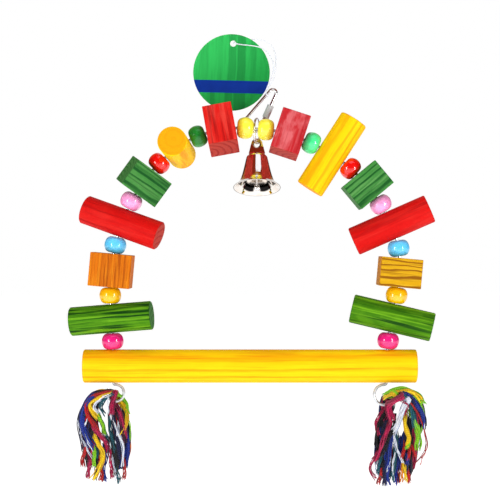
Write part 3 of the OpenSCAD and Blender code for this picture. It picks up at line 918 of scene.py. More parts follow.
def add(name: str, data: bpy.types.ID) -> Object:
    """Make an object and put it into the scene.

    Args:
        name: Its name.
        data: Its mesh, camera or light.

    Returns:
        The object.
    """
    made = bpy.data.objects.new(name, data)
    bpy.context.scene.collection.objects.link(made)
    return made


def finished(bm: bmesh.types.BMesh, name: str, finish: Material) -> Object:
    """Turn a finished mesh into an object at the origin.

    Args:
        bm: The mesh, which is freed.
        name: The piece's name.
        finish: Its material.

    Returns:
        The object.
    """
    for face in bm.faces:
        face.smooth = len(face.verts) == 4
    mesh = bpy.data.meshes.new(name)
    bm.to_mesh(mesh)
    bm.free()
    mesh.materials.append(finish)
    return add(name, mesh)


def spaced(line: Sequence[Vector], step: float) -> list[Vector]:
    """Give points at even distances along a line.

    Args:
        line: The line, whose first three numbers are its place in metres.
        step: The distance wanted between points.

    Returns:
        The new points, with the old numbers eased between.
    """
    gone = [0.0]
    for a, b in zip(line, line[1:]):
        gone.append(gone[-1] + (b.xyz - a.xyz).length)
    count = max(6, round(gone[-1] / step))
    points, j = [], 0
    for i in range(count + 1):
        want = gone[-1] * i / count
        while j < len(gone) - 2 and gone[j + 1] < want:
            j += 1
        share = (want - gone[j]) / max(gone[j + 1] - gone[j], 1e-9)
        points.append(line[j].lerp(line[j + 1], min(share, 1.0)))
    return points


class Strands:
    """Strands of one colour, swept ring by ring into one mesh."""

    def __init__(self, sides: int = 6) -> None:
        """Start an empty mesh.

        Args:
            sides: How many sides each strand has.
        """
        self.sides = sides
        self.bm = bmesh.new()
        self.lay = self.bm.verts.layers.float_vector.new("lay")
        # How near each strand lies to its ply's side, which the yarn paints in shade.
        self.rim = self.bm.verts.layers.float.new("rim")
        self.number = self.bm.verts.layers.int.new("number")

    def sweep(
        self,
        lines: Sequence[Sequence[Vector]],
        radii: Sequence[Sequence[float]],
        side_shades: Sequence[Sequence[float]],
        starts: Sequence[float],
    ) -> None:
        """Sweep strands that have equally many points, all at once.

        Args:
            lines: The middle of each strand, in metres.
            radii: Its radius at each point.
            side_shades: How near it is to its ply's side at each point, from 0 to 1.
            starts: Where its lay starts, in millimetres.
        """
        bm, lay, number = self.bm, self.lay, self.number
        frames = [frames_along(line) for line in lines]
        ring, edges = [], []
        for index, start in enumerate(starts):
            circle = bmesh.ops.create_circle(bm, segments=self.sides, radius=1.0)["verts"]
            for vert in circle:
                vert[lay] = (vert.co.x, vert.co.y, start)
                vert[number] = index
            ring += circle
            edges += dict.fromkeys(edge for vert in circle for edge in vert.link_edges)
        for i in range(len(lines[0])):
            if i > 0:
                grown = bmesh.ops.extrude_edge_only(bm, edges=edges)["geom"]
                ring = [part for part in grown if isinstance(part, bmesh.types.BMVert)]
                edges = [part for part in grown if isinstance(part, bmesh.types.BMEdge)]
            for vert in ring:
                index, here = vert[number], vert[lay]
                radius = radii[index][i]
                vert.co = frames[index][i] @ Vector((here.x * radius, here.y * radius, 0.0))
                # How near the strand lies to its ply's side, for the painted side shade.
                vert[self.rim] = side_shades[index][i]
                if i > 0:
                    step = (lines[index][i] - lines[index][i - 1]).length / MM
                    vert[lay] = (here.x, here.y, here.z + step)
            if i in (0, len(lines[0]) - 1):
                bmesh.ops.edgeloop_fill(bm, edges=edges)

    def single(self, line: Sequence[Vector], diameter: float) -> None:
        """Sweep one plain strand."""
        count = len(line)
        self.sweep([line], [[diameter / 2] * count], [[0.0] * count], [0.0])

    def finish(self, name: str, dye: Material) -> Object:
        """Close the mesh and make its object.

        Args:
            name: The piece's name.
            dye: Its material.

        Returns:
            The object, at the origin.
        """
        self.bm.verts.layers.int.remove(self.number)
        bmesh.ops.recalc_face_normals(self.bm, faces=self.bm.faces)
        return finished(self.bm, name, dye)


@dataclass(frozen=True)
class Ply:
    """A flat ribbon of strands, by the points that its middle passes in front view.

    Its path is the x and z of each point in turn, in millimetres from the foot of the
    tassel's eye. It has a half width, a count of strands, and a lift before the leg's
    front.
    """

    dye: str
    path: tuple[float, ...]
    half: float = 1.9
    count: int = 8
    lift: float = 0.0


@dataclass
class Leg:
    """One hanging half of a tassel, from the top of its eye's foot to its cut ends."""

    name: str
    foot: Vector
    route: Sequence[tuple[float, float, float, float]]
    filling: Sequence[str]
    plies: Sequence[Ply]
    turns: float
    seed: int
    step: float = 1.4 * MM
    route_steps: int = 12
    # The filling: how far out its ribbons lie and how wide they are, as shares of the
    # leg's half width, and how much they gather at the eye and over which share.
    filling_lie: float = 0.55
    filling_half: float = 0.27
    filling_count: int = 8
    filling_short: float = 0.12
    filling_stray: float = 0.2
    filling_neck: float = 0.4
    filling_neck_over: float = 0.25
    # The plies: above knot_z, in mm from the foot, they keep clear of the eye's wire.
    knot_z: float = -2.0
    wire_clear: float = 3.4
    over_foot: tuple[float, float, float] = (0.2, 0.6, 6.6)
    tuck: float = 0.8
    front_share: float = 0.85
    side_share: float = 1.5
    side_most: float = 0.9
    ply_steps: int = 10
    ply_share: float = 0.88
    ply_flat: float = 0.55
    # A ribbon's strands: the turn from one to the next, how they differ, the gathered
    # start, the loose end and the waves. splay, wave_size and lay_start are in mm.
    strand_turn: float = 2.4
    strand_size: tuple[float, float] = (0.85, 1.1)
    strand_short: float = 0.1
    twist: tuple[float, float] = (1.2, 3.0)
    strand_fill: float = 0.95
    neck: float = 0.6
    neck_over: float = 0.15
    fray_from: float = 0.7
    fray_over: float = 0.3
    loosen: float = 0.35
    splay: tuple[float, float] = (0.8, 1.1)
    wave_size: tuple[float, float] = (0.25, 0.35)
    wave_rate: tuple[float, float] = (19.0, 16.0)
    tip: float = 0.7
    lay_start: float = 9.0
    core_d: float = 2.6 * MM
    core_share: float = 0.93
    core_sides: int = 8

    def middle_line(self) -> tuple[list[Vector], list[float]]:
        """Lay the leg's middle line.

        Returns:
            Its evenly spaced points in metres, and the half width at each.
        """
        route = [Vector(p) for p in self.route]
        rough = [p * MM for p in smooth_line(route, self.route_steps)]
        points = spaced(rough, self.step)
        return [self.foot + p.xyz for p in points], [p.w for p in points]

    def on_front(self, x: float, z: float, lift: float) -> Vector:
        """Lay a point of the front view on the front of the leg.

        Args:
            x: Millimetres to the right of the eye's foot.
            z: Millimetres above it.
            lift: How far it stands before the leg's front, in millimetres.

        Returns:
            The point in metres.
        """
        line, widths = self.middle_line()
        here = self.foot + mm(x, 0.0, z)
        near = min(range(len(line)), key=lambda i: (line[i].xz - here.xz).length)
        middle, width = line[near], widths[near]
        aside = min(self.side_most, abs(here.x - middle.x) / (self.side_share * width))
        depth = self.front_share * width * math.cos(aside * math.pi / 2)
        y = middle.y - self.foot.y - depth - lift * MM
        if z > self.knot_z:
            clear = self.wire_clear * MM
            y = max(y, clear) if middle.y > self.foot.y else min(y, -clear)
        return Vector((here.x, self.foot.y + y, here.z))

    def ribbon(
        self,
        line: list[Vector],
        halves: list[float],
        count: int,
        flat: float,
        dice: random.Random,
    ) -> tuple[list[list[Vector]], list[list[float]], list[list[float]]]:
        """Lay strands side by side along a line, turning slowly and fraying at the end.

        Args:
            line: The ribbon's middle.
            halves: Its half width at each point.
            count: How many strands it has.
            flat: Its thickness as a share of its width.
            dice: Where its unevenness comes from.

        Returns:
            The strands' lines and radii, and how near they are to the ribbon's sides, which sets
            their painted shade.
        """
        last = len(line) - 1
        frames = frames_along(line)
        lines, radii, side_shades = [], [], []
        phase = dice.uniform(0.0, 2 * math.pi)
        twist = dice.uniform(*self.twist) * dice.choice((-1.0, 1.0))
        for k in range(count):
            out = math.sqrt((k + 0.5) / count)
            stop = 1.0 - dice.uniform(0.0, self.strand_short)
            waves = [dice.uniform(0.0, 2 * math.pi) for _ in range(2)]
            splay = Vector((dice.uniform(-1, 1), dice.uniform(-1, 1)))
            own = dice.uniform(*self.strand_size)
            strand, sizes, strand_side_shade = [], [], []
            for i in range(last + 1):
                at = stop * i
                j = min(int(at), last - 1)
                s = at / last
                frame = frames[j].lerp(frames[j + 1], at - j)
                half = halves[j] + (halves[j + 1] - halves[j]) * (at - j)
                loose = max(0.0, (s - self.fray_from) / self.fray_over) ** 2
                gather = self.neck + (1 - self.neck) * min(1.0, s / self.neck_over)
                angle = phase + self.strand_turn * k + twist * s
                reach = half * out * gather * (1.0 + self.loosen * loose)
                place = [reach * math.cos(angle) * flat, reach * math.sin(angle)]
                for axis in range(2):
                    wave = math.sin(self.wave_rate[axis] * s + waves[axis])
                    place[axis] += splay[axis] * loose * self.splay[axis] * MM
                    place[axis] += self.wave_size[axis] * MM * wave
                strand.append(frame @ Vector((*place, 0.0)))
                # How near the strand lies to the ribbon's side, for its painted shade.
                strand_side_shade.append(out * abs(math.sin(angle)))
                thick = own * half * gather * math.sqrt(flat)
                sizes.append(thick * self.strand_fill / math.sqrt(count))
            sizes[-1] *= self.tip
            lines.append(strand)
            radii.append(sizes)
            side_shades.append(strand_side_shade)
        return lines, radii, side_shades

    def build(self, dyes: dict[str, Material], body: str) -> list[Object]:
        """Make the leg's yarn, one piece a colour.

        Args:
            dyes: The yarn materials by colour.
            body: The body that they ride on.

        Returns:
            The pieces.
        """
        dice = random.Random(self.seed)
        points, widths = self.middle_line()
        frames = frames_along(points)
        colours = dict.fromkeys([*self.filling, *(ply.dye for ply in self.plies)])
        meshes = {colour: Strands() for colour in colours}

        def lay(
            colour: str, line: list[Vector], halves: list[float], count: int, flat: float
        ) -> None:
            """Sweep a ribbon's strands into the mesh of its colour.

            Args:
                colour: The colour.
                line: The ribbon's middle.
                halves: Its half width at each point.
                count: How many strands it has.
                flat: Its thickness as a share of its width.
            """
            strands = self.ribbon(line, halves, count, flat, dice)
            starts = [dice.uniform(0.0, self.lay_start) for _ in strands[0]]
            meshes[colour].sweep(*strands, starts)

        for index, colour in enumerate(self.filling):
            kept = 1.0 - dice.uniform(0.0, self.filling_short)
            end = round(kept * (len(points) - 1)) + 1
            stray = dice.uniform(-self.filling_stray, self.filling_stray)
            angle = 2 * math.pi * index / len(self.filling) + stray
            line = []
            for i in range(end):
                turn = angle + 2 * math.pi * self.turns * i / len(points)
                s = min(1.0, i / (self.filling_neck_over * len(points)))
                gather = self.filling_neck + (1 - self.filling_neck) * s
                lie = self.filling_lie * gather * widths[i]
                line.append(frames[i] @ Vector((lie * math.cos(turn), lie * math.sin(turn), 0.0)))
            halves = [self.filling_half * width for width in widths[:end]]
            lay(colour, line, halves, self.filling_count, 1.0)
        for ply in self.plies:
            sides, heights = ply.path[::2], ply.path[1::2]
            route = [self.on_front(x, z, ply.lift) for x, z in zip(sides, heights)]
            if heights[0] > self.knot_z:
                aside, y, z = self.over_foot
                route.insert(0, self.foot + mm(aside * sides[0], y, z))
            else:
                route[0].y += self.tuck * (self.foot.y - route[0].y)
            line = spaced(smooth_line(route, self.ply_steps), self.step)
            halves = [self.ply_share * ply.half * MM] * len(line)
            lay(ply.dye, line, halves, ply.count, self.ply_flat)
        pieces = []
        for colour, strands in meshes.items():
            piece = strands.finish(f"{self.name}_{colour}", dyes[colour])
            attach(piece, body)
            pieces.append(piece)
        return pieces

    def core(self, dyes: dict[str, Material], body: str) -> tuple[Object, list[Vector]]:
        """Make the leg's middle yarn.

        Args:
            dyes: The yarn materials by colour.
            body: The body that it rides on.

        Returns:
            The piece and the line that it follows.
        """
        points, _ = self.middle_line()
        points = points[: round(self.core_share * len(points))]
        strands = Strands(self.core_sides)
        strands.single(points, self.core_d)
        piece = strands.finish(f"{self.name}_core", dyes["black"])
        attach(piece, body)
        return piece, points


OVER_FOOT = [(0.0, 0.0, 6.05, 4.3)]
OUTER_LEFT = OVER_FOOT + [
    (-2, -5, 6.8, 4.3), (-5.8, -7.2, 6.9, 4.3), (-10.5, -6.6, 6, 4.9), (-15.2, -4.4, 2.8, 5.6),
    (-18.6, -2, -4, 6.8), (-19.5, -0.5, -14, 8), (-19, 0, -27, 8.6), (-17.5, 0, -40, 8.3),
    (-15, 0, -55, 6.5),
]
INNER_LEFT = OVER_FOOT + [
    (0, 4.278, 4.278, 4.3), (0, 6.05, 0, 4.3), (0.4, 6, -5, 4.8), (2, 4.6, -11.5, 6),
    (4, 2, -18.5, 7.2), (5.2, 0.3, -27, 7.8), (4.8, 0, -38, 7.8), (3, 0, -48, 7.2),
    (2, 0, -56, 6),
]
OUTER_RIGHT = OVER_FOOT + [
    (2.4, -5.2, 8, 4.3), (7, -7.4, 9.4, 4.3), (13, -6.8, 10, 4.7), (19.8, -5.2, 7.8, 5.4),
    (24.2, -3.4, 1.4, 6.4), (24.8, -1.5, -8, 7.4), (22.4, -0.5, -19, 8.3), (19, 0, -31, 8.6),
    (17.2, 0, -44, 8), (15.3, 0, -58, 6),
]
INNER_RIGHT = OVER_FOOT + [
    (0, 4.278, 4.278, 4.3), (0, 6.05, 0, 4.3), (0.2, 6, -5, 4.8), (0.8, 4.6, -11.5, 6),
    (0.4, 2, -19, 7.2), (-0.4, 0.3, -27, 8), (-0.8, 0, -38, 8.3), (-0.2, 0, -48, 7.8),
    (0.8, 0, -58, 6),
]

OUTER_PLIES_LEFT = (
    Ply("black", (-3.2, 9.8, -8.6, 9.0, -13.2, 7.5, -17.0, 2.1, -19.3, -4.7), half=1.3, count=5),
    Ply("red", (-4.7, 8.3, -10.9, 6.7, -17.0, 4.4, -21.6, -0.9, -20.8, -8.6, -16.2, -16.2, -11.6,
        -24.6), half=2.0, lift=1.0),
    Ply("yellow", (-4.0, 6.7, -10.1, 4.4, -16.2, 1.4, -18.5, -2.4, -15.5, -8.6, -11.6, -13.2),
        half=1.7, lift=1.4),
    Ply("lime", (-15.5, -4.7, -12.4, -10.9, -9.3, -18.5, -8.6, -26.2), half=1.7, lift=1.0),
    Ply("white", (-4.0, 6.0, -8.6, 4.4, -13.9, -0.2, -15.5, -4.7, -11.6, -10.1), half=1.2,
        count=5, lift=1.8),
    Ply("teal", (-3.2, 6.0, -7.8, 2.1, -10.9, -4.7, -6.3, -10.9), half=1.7, lift=1.2),
    Ply("white", (-4.0, 6.7, -4.4, -0.9, -4.7, -10.1), half=0.5, count=2, lift=2.4),
    Ply("magenta", (0.6, 8.3, -1.7, 1.4, -2.4, -4.0, -1.7, -10.1), half=2.4, count=9, lift=1.6),
    Ply("blue", (-15.5, 5.2, -22.3, -2.4, -24.6, -11.6, -22.3, -23.9, -15.5, -36.1), half=2.8,
        count=11, lift=0.5),
    Ply("navy", (-17.0, 2.1, -24.6, -5.5, -26.9, -16.2, -25.4, -28.5, -21.6, -40.7), half=1.9),
    Ply("white", (-24.6, -4.0, -28.5, -12.4, -24.6, -20.8, -20.0, -30.0, -14.7, -38.4), half=0.9,
        count=4, lift=1.2),
    Ply("white", (-20.0, -8.6, -21.6, -14.7, -26.2, -23.9, -23.1, -31.5, -16.2, -43.8), half=0.7,
        count=3, lift=0.6),
    Ply("magenta", (-20.0, -8.6, -15.5, -19.3, -10.9, -26.2, -7.0, -32.3, -6.3, -40.7), half=2.1,
        lift=0.6),
    Ply("yellow", (-18.5, -19.3, -13.9, -30.0, -9.3, -38.4, -11.6, -49.1, -17.0, -59.8), half=2.2,
        count=9, lift=0.7),
    Ply("teal", (-12.4, -10.1, -9.3, -19.3, -6.3, -28.5, -4.7, -39.2), half=1.6),
    Ply("red", (-20.0, -23.9, -22.3, -35.3, -24.6, -43.0, -25.4, -50.6), half=1.8),
    Ply("lime", (-17.0, -28.5, -15.5, -37.6, -15.5, -43.8, -16.2, -49.9), half=1.8, lift=0.6),
    Ply("magenta", (-17.0, -36.1, -18.5, -45.3, -20.0, -52.2, -20.8, -59.1), half=1.7),
    Ply("black", (-13.2, -39.2, -13.9, -48.3, -15.5, -59.8), half=1.4, count=6),
    Ply("red", (-10.9, -36.1, -11.6, -45.3, -10.1, -54.5, -11.6, -62.1), half=1.5, count=6),
    Ply("blue", (-9.3, -31.5, -7.0, -42.2, -8.6, -52.9, -7.0, -62.1), half=1.6, count=6),
)
INNER_PLIES_LEFT = (
    Ply("lime", (1.4, 6.7, 5.2, 2.1, 7.5, -3.2, 9.0, -10.9), half=2.5, lift=0.6),
    Ply("yellow", (-0.2, 3.7, 4.4, -2.4, 8.3, -10.1, 7.5, -18.5, 3.7, -25.4), half=2.5, lift=0.4),
    Ply("magenta", (-1.7, 0.6, 2.1, -7.8, 6.0, -17.7, 7.5, -28.5), half=2.2, lift=0.8),
    Ply("plum", (-0.9, -3.2, 2.9, -11.6, 5.2, -20.8, 7.5, -31.5), half=1.8, lift=1.2),
    Ply("white", (-5.5, -4.0, -3.2, -12.4, 2.1, -22.3, 6.0, -31.5, 6.3, -43.0, 5.2, -53.7),
        half=1.1, count=5, lift=1.6),
    Ply("teal", (-4.7, -8.6, -4.0, -19.3, -1.7, -30.0, 0.6, -40.7), half=2.0),
    Ply("navy", (-1.7, -10.1, -0.2, -20.8, 2.9, -33.0, 3.7, -45.3), half=1.9),
    Ply("black", (-3.2, -22.3, -0.9, -34.6, 2.1, -45.3, 0.6, -56.0), half=2.1, lift=0.4),
    Ply("magenta", (-4.0, -36.1, -3.2, -45.3, -2.4, -52.2, -2.4, -59.8), half=1.7, lift=0.6),
    Ply("blue", (6.7, -19.3, 9.8, -30.0, 9.8, -40.7, 7.5, -51.4), half=1.7),
    Ply("red", (2.9, -34.6, 6.7, -44.5, 7.5, -52.9, 6.0, -60.6), half=1.6),
    Ply("teal", (-0.2, -40.7, 1.4, -49.9, 2.9, -57.5, 2.1, -62.9), half=1.5, count=6),
    Ply("lime", (9.0, -8.6, 11.3, -19.3, 11.3, -30.0), half=0.8, count=3),
    Ply("white", (0.6, -31.5, -1.7, -43.0, 0.6, -52.9, -0.9, -62.1), half=0.6, count=3, lift=1.0),
)
OUTER_PLIES_RIGHT = (
    Ply("lime", (8.4, 9.8, 4.6, 12.1, 0.8, 10.6, -1.5, 7.5), half=1.7, lift=1.6),
    Ply("yellow", (9.2, 7.5, 4.6, 9.0, 0.8, 7.5, -0.8, 4.4), half=1.7, lift=2.2),
    Ply("magenta", (12.2, 8.3, 6.9, 5.2, 3.1, 0.6, 3.8, -6.3, 6.9, -13.2), half=3.5, count=13,
        lift=2.4),
    Ply("yellow", (4.6, 9.8, 10.7, 11.3, 17.6, 11.3, 23.7, 8.3, 27.5, 2.9), half=2.2, count=9,
        lift=0.8),
    Ply("lime", (4.6, 12.1, 12.2, 13.6, 19.1, 12.1, 25.2, 8.3, 29.1, 0.6), half=2.2, count=9),
    Ply("teal", (10.7, 9.0, 15.3, 6.7, 19.1, 0.6, 21.4, -9.3, 22.2, -18.5), half=2.3, count=9,
        lift=0.6),
    Ply("blue", (12.2, 9.8, 19.9, 6.0, 25.2, -0.9, 28.3, -8.6, 29.1, -17.0), half=2.5, count=10,
        lift=0.2),
    Ply("navy", (16.8, 7.5, 22.9, 1.4, 29.1, -7.8, 29.8, -18.5), half=1.8),
    Ply("red", (16.8, 4.4, 22.2, -1.7, 26.0, -9.3, 29.8, -18.5, 32.1, -30.8, 27.5, -39.2, 22.9,
        -44.5), half=0.7, count=3, lift=1.2),
    Ply("red", (31.4, -27.7, 31.4, -33.8, 29.1, -39.9, 26.0, -46.1), half=0.45, count=2, lift=1.2),
    Ply("white", (16.8, 6.0, 14.5, 0.6, 11.5, -7.8, 9.2, -15.5, 5.4, -22.3), half=2.6, count=11,
        lift=2.0),
    Ply("white", (7.7, -17.0, 6.9, -23.1, 9.2, -33.0, 13.8, -43.8), half=1.1, count=5, lift=2.0),
    Ply("magenta", (15.3, 2.9, 16.1, -3.2, 13.8, -10.9), half=0.8, count=3, lift=2.6),
    Ply("lime", (18.4, -3.2, 22.2, -10.9, 24.5, -21.6, 22.9, -34.6), half=2.0, lift=0.4),
    Ply("lime", (20.7, -6.3, 24.5, -15.5, 26.8, -26.2, 26.0, -35.3), half=1.6),
    Ply("yellow", (16.1, -3.2, 15.3, -13.9, 17.6, -23.9, 16.1, -33.0), half=2.0, lift=0.8),
    Ply("lime", (18.4, -20.0, 18.4, -27.7, 14.5, -33.8), half=1.0, count=4, lift=1.2),
    Ply("red", (16.1, -24.6, 14.5, -32.3, 12.2, -40.7), half=1.4, count=6, lift=1.0),
    Ply("red", (17.6, -26.2, 18.4, -33.8, 16.8, -41.5), half=1.4, count=6, lift=1.0),
    Ply("red", (19.1, -25.4, 21.4, -33.0, 22.9, -39.9), half=1.4, count=6, lift=1.0),
    Ply("blue", (15.3, -32.3, 16.8, -38.4, 16.1, -45.3), half=1.4, count=6, lift=0.6),
    Ply("yellow", (13.0, -36.9, 14.5, -46.1, 16.8, -59.1), half=1.5, count=6),
    Ply("orange", (14.5, -36.9, 13.0, -47.6, 12.2, -59.1), half=1.5, count=6),
    Ply("red", (16.8, -39.9, 17.6, -50.6, 19.1, -59.8), half=1.4, count=6),
)
INNER_PLIES_RIGHT = (
    Ply("black", (6.1, 2.9, 1.5, -5.5, -3.8, -14.7, -6.1, -23.9, -6.1, -32.3), half=2.2, count=9),
    Ply("navy", (6.9, -0.2, 3.1, -10.1, -0.8, -20.0, -2.3, -32.3), half=2.2, count=9),
    Ply("magenta", (3.1, -0.2, -3.1, -7.8, -6.1, -14.7, -3.8, -23.1), half=1.8, lift=1.0),
    Ply("magenta", (6.1, -9.3, 2.3, -17.7, -1.5, -25.4, -3.8, -33.0, -7.7, -42.2), half=2.0,
        lift=1.4),
    Ply("black", (8.4, -6.3, 6.9, -17.0, 1.5, -27.7, -3.1, -39.9), half=1.5, count=6, lift=0.8),
    Ply("magenta", (-3.1, -30.8, -7.7, -38.4, -10.7, -46.1, -9.9, -52.2, -5.4, -56.0), half=1.2,
        count=5, lift=0.8),
    Ply("white", (-2.3, -36.9, -6.1, -43.8, -6.9, -49.9, -3.1, -54.5), half=0.7, count=3,
        lift=1.4),
    Ply("teal", (-0.8, -32.3, -3.8, -41.5, -5.4, -49.1, -2.3, -56.0), half=1.3, count=6, lift=0.6),
    Ply("blue", (6.1, -17.0, 3.8, -30.0, 2.3, -43.0, 1.5, -53.7, 3.1, -62.1), half=2.2, count=9,
        lift=0.4),
    Ply("teal", (9.2, -18.5, 8.4, -32.3, 6.9, -44.5, 4.6, -58.3), half=2.0, lift=0.8),
    Ply("blue", (11.5, -23.1, 10.7, -35.3, 9.2, -47.6, 7.7, -61.4), half=2.1, lift=0.4),
    Ply("white", (5.4, -24.6, 7.7, -34.6, 5.4, -45.3, 6.9, -57.5), half=0.6, count=3, lift=1.6),
    Ply("white", (2.3, -30.8, 3.8, -40.7, 0.8, -51.4), half=0.6, count=3, lift=1.4),
    Ply("red", (-0.8, -41.5, -3.1, -50.6, -4.6, -60.6), half=1.6, count=7),
    Ply("navy", (0.8, -35.3, 0.0, -47.6, -0.8, -61.4), half=1.8, count=7),
    Ply("red", (9.9, -38.4, 9.9, -49.1, 10.7, -60.6), half=1.7, count=7, lift=0.4),
)


@dataclass
class Tassel:
    """A bundle of coloured yarn that is looped through an eye under the perch."""

    node: str
    legs: Sequence[Leg]

    def build(self, dyes: dict[str, Material]) -> None:
        """Make both legs and their middle yarns.

        Args:
            dyes: The yarn materials by colour.
        """
        for leg in self.legs:
            pieces = leg.build(dyes, self.node)
            core, line = leg.core(dyes, self.node)
            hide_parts(self.node)
            round(length_of(line), 4)
            LOG.info("%s: %d colours, core %.0f mm", leg.name, len(pieces), length_of(line) / MM)


FOOT_LEFT = mm(-120.372, -10.45, -238.712)
FOOT_RIGHT = mm(85.126, -10.45, -241.512)

TASSELS = (
    Tassel("tassel_left", (
        Leg(
            "tassel_left_outer", FOOT_LEFT, OUTER_LEFT,
            "black navy red lime blue black yellow teal magenta".split(),
            OUTER_PLIES_LEFT, turns=0.8, seed=11,
        ),
        Leg(
            "tassel_left_inner", FOOT_LEFT, INNER_LEFT,
            "navy black white red magenta black teal orange blue".split(),
            INNER_PLIES_LEFT, turns=0.7, seed=12,
        ),
    )),
    Tassel("tassel_right", (
        Leg(
            "tassel_right_outer", FOOT_RIGHT, OUTER_RIGHT,
            "black navy blue yellow red navy lime black magenta".split(),
            OUTER_PLIES_RIGHT, turns=-0.7, seed=13,
        ),
        Leg(
            "tassel_right_inner", FOOT_RIGHT, INNER_RIGHT,
            "black blue white teal black navy magenta black blue".split(),
            INNER_PLIES_RIGHT, turns=-0.6, seed=14,
        ),
    )),
)


@dataclass(frozen=True)
class TieThread:
    """The thread from the quick link round its arm, through the card and back."""

    node: str = "tag_loop"
    diameter: float = 0.8 * MM
    sides: int = 8
    steps: int = 6
    route: tuple[tuple[float, float, float], ...] = (
        (-3.4, -0.6, -4.5), (-4, -1.7, -4), (-5.2, -2, -2.6), (-5.2, -1.8, 0),
        (-3.6, -1.6, 4), (-1.4, -1, 9), (0.4, 0.6, 16), (0, 4, 24), (-4, 8.5, 31),
        (-9, 10.9, 35), (-16, 11, 36.6), (-24, 11, 37.4), (-28, 11, 38.1),
        (-30.2, 11.4, 38.6), (-30.7, 12.4, 39), (-30, 13.2, 39.6), (-27, 13.4, 40.4),
        (-20, 13.4, 41.4), (-10, 13.2, 41.6), (-2, 11.6, 38), (2, 8, 30), (2.4, 4.4, 20),
        (0.8, 3, 10), (-3.4, 2.4, 3), (-5.6, 2.1, -1), (-5, 2, -3), (-4, 1.7, -4),
        (-3.4, 0.6, -4.5),
    )

    def build(self, dye: Material) -> Object:
        """Args:
            dye: Its material.

        Returns:
            The piece.
        """
        line = smooth_line([mm(*point) for point in self.route], self.steps)
        strands = Strands(self.sides)
        strands.single(line, self.diameter)
        piece = strands.finish("tie_thread", dye)
        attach(piece, "quick_link")
        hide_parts(self.node)
        round(length_of(line), 4)
        return piece


def dress(node: str, material: Material) -> None:
    """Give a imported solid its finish, and leave its mesh alone.

    Args:
        node: The solid's name.
        material: Its finish.
    """
    solid = frame["nodes"][node]
    if not solid.material_slots:
        solid.data.materials.append(material)
    for slot in solid.material_slots:
        slot.material = material
    LOG.info("%s: %s", node, material.name)


@dataclass(frozen=True)
class TurnedBead:
    """A turned wooden bead: nearly a ball, cut flat and eased round its hole."""

    width: float = 16.8
    length: float = 12.3
    edge_r: float = 4.2
    hole_r: float = 2.0
    lip_r: float = 0.3
    lip_steps: int = 3
    arc_steps: int = 7
    side_steps: int = 10
    turn_steps: int = 56

    def outline(self) -> list[tuple[float, float]]:
        """Draw half the bead's section.

        Returns:
            Its closed ring of radius and height, in mm.
        """
        top = self.length / 2
        bend_z = top - self.edge_r
        bend_r = math.sqrt((self.width / 2 - self.edge_r) ** 2 - bend_z**2)
        low = math.atan2(bend_z, bend_r)
        upper = [(self.hole_r, top - self.lip_r)]
        for i in range(1, self.lip_steps + 1):
            a = math.pi - i * math.pi / (2 * self.lip_steps)
            r = self.hole_r + self.lip_r * (1 + math.cos(a))
            upper.append((r, top - self.lip_r * (1 - math.sin(a))))
        for i in range(self.arc_steps + 1):
            a = math.pi / 2 + (low - math.pi / 2) * i / self.arc_steps
            upper.append((bend_r + self.edge_r * math.cos(a), bend_z + self.edge_r * math.sin(a)))
        for i in range(1, self.side_steps // 2):
            a = low * (1 - 2 * i / self.side_steps)
            upper.append((self.width / 2 * math.cos(a), self.width / 2 * math.sin(a)))
        lower = [(r, -z) for r, z in reversed(upper)]
        return [*upper, (self.width / 2, 0.0), *lower]

    def build(self, node: str, seat: Seat, lacquer: Material) -> Object:
        """Spin the bead and set it on the wire.

        Args:
            node: The solid that it stands for, which is also its body's name.
            seat: Where it sits.
            lacquer: Its material.

        Returns:
            The piece.
        """
        bm = bmesh.new()
        verts = [bm.verts.new((r, 0.0, z)) for r, z in self.outline()]
        edges = [bm.edges.new((a, b)) for a, b in zip(verts, [*verts[1:], verts[0]])]
        bmesh.ops.spin(
            bm,
            geom=[*verts, *edges],
            cent=(0.0, 0.0, 0.0),
            axis=(0.0, 0.0, 1.0),
            angle=2 * math.pi,
            steps=self.turn_steps,
            use_merge=True,
        )
        bmesh.ops.recalc_face_normals(bm, faces=bm.faces)
        place = Matrix.Translation(seat.middle()) @ seat.turn().to_4x4() @ Matrix.Scale(MM, 4)
        bmesh.ops.transform(bm, verts=bm.verts, matrix=place)
        piece = finished(bm, f"turned_{node}", lacquer)
        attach(piece, node)
        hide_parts(node)
        "bead_" + node.rsplit("_", 1)[1]
        return piece


@dataclass(frozen=True)
class ThreadedArch:
    """The wire arch, the perch across its foot and everything threaded on it."""

    bead: TurnedBead = TurnedBead()

    def dress_wood(self) -> None:
        """Stain the perch, the dowels and the blocks."""
        for node, wood in WOODS.items():
            dress(node, wood.material(SEATS[node]))

    def build_beads(self) -> None:
        """Turn and lacquer the fourteen beads."""
        for node, seat in SEATS.items():
            if node.startswith("bead_"):
                lacquer = LACQUERS[node.rsplit("_", 1)[1]]
                piece = self.bead.build(node, seat, lacquer.material(seat))
                LOG.info("%s: %s", piece.name, lacquer.name)

    def build(self) -> None:
        """Finish the whole arch."""
        dress("arch_wire", DRAWN_WIRE.material())
        self.dress_wood()
        self.build_beads()


@dataclass(frozen=True)
class Hanger:
    """The quick link with its sleeve nut, and the oval ring below it."""

    rod: PlatedMetal = NICKEL
    sleeve: PlatedMetal = ZINC

    def build(self) -> None:
        """Plate the link, its sleeve and the ring."""
        dress("link_rod", self.rod.material())
        dress("hanger_ring", self.rod.material())
        dress("link_sleeve", self.sleeve.material())


@dataclass(frozen=True)
class Bell:
    """The bell with its crown, and the clapper inside."""

    plate: BellPlate = BellPlate()
    clapper: PlatedMetal = NICKEL

    def build(self) -> None:
        """Plate the bell and its clapper."""
        dress("bell_shell", self.plate.material())
        dress("clapper", self.clapper.material())


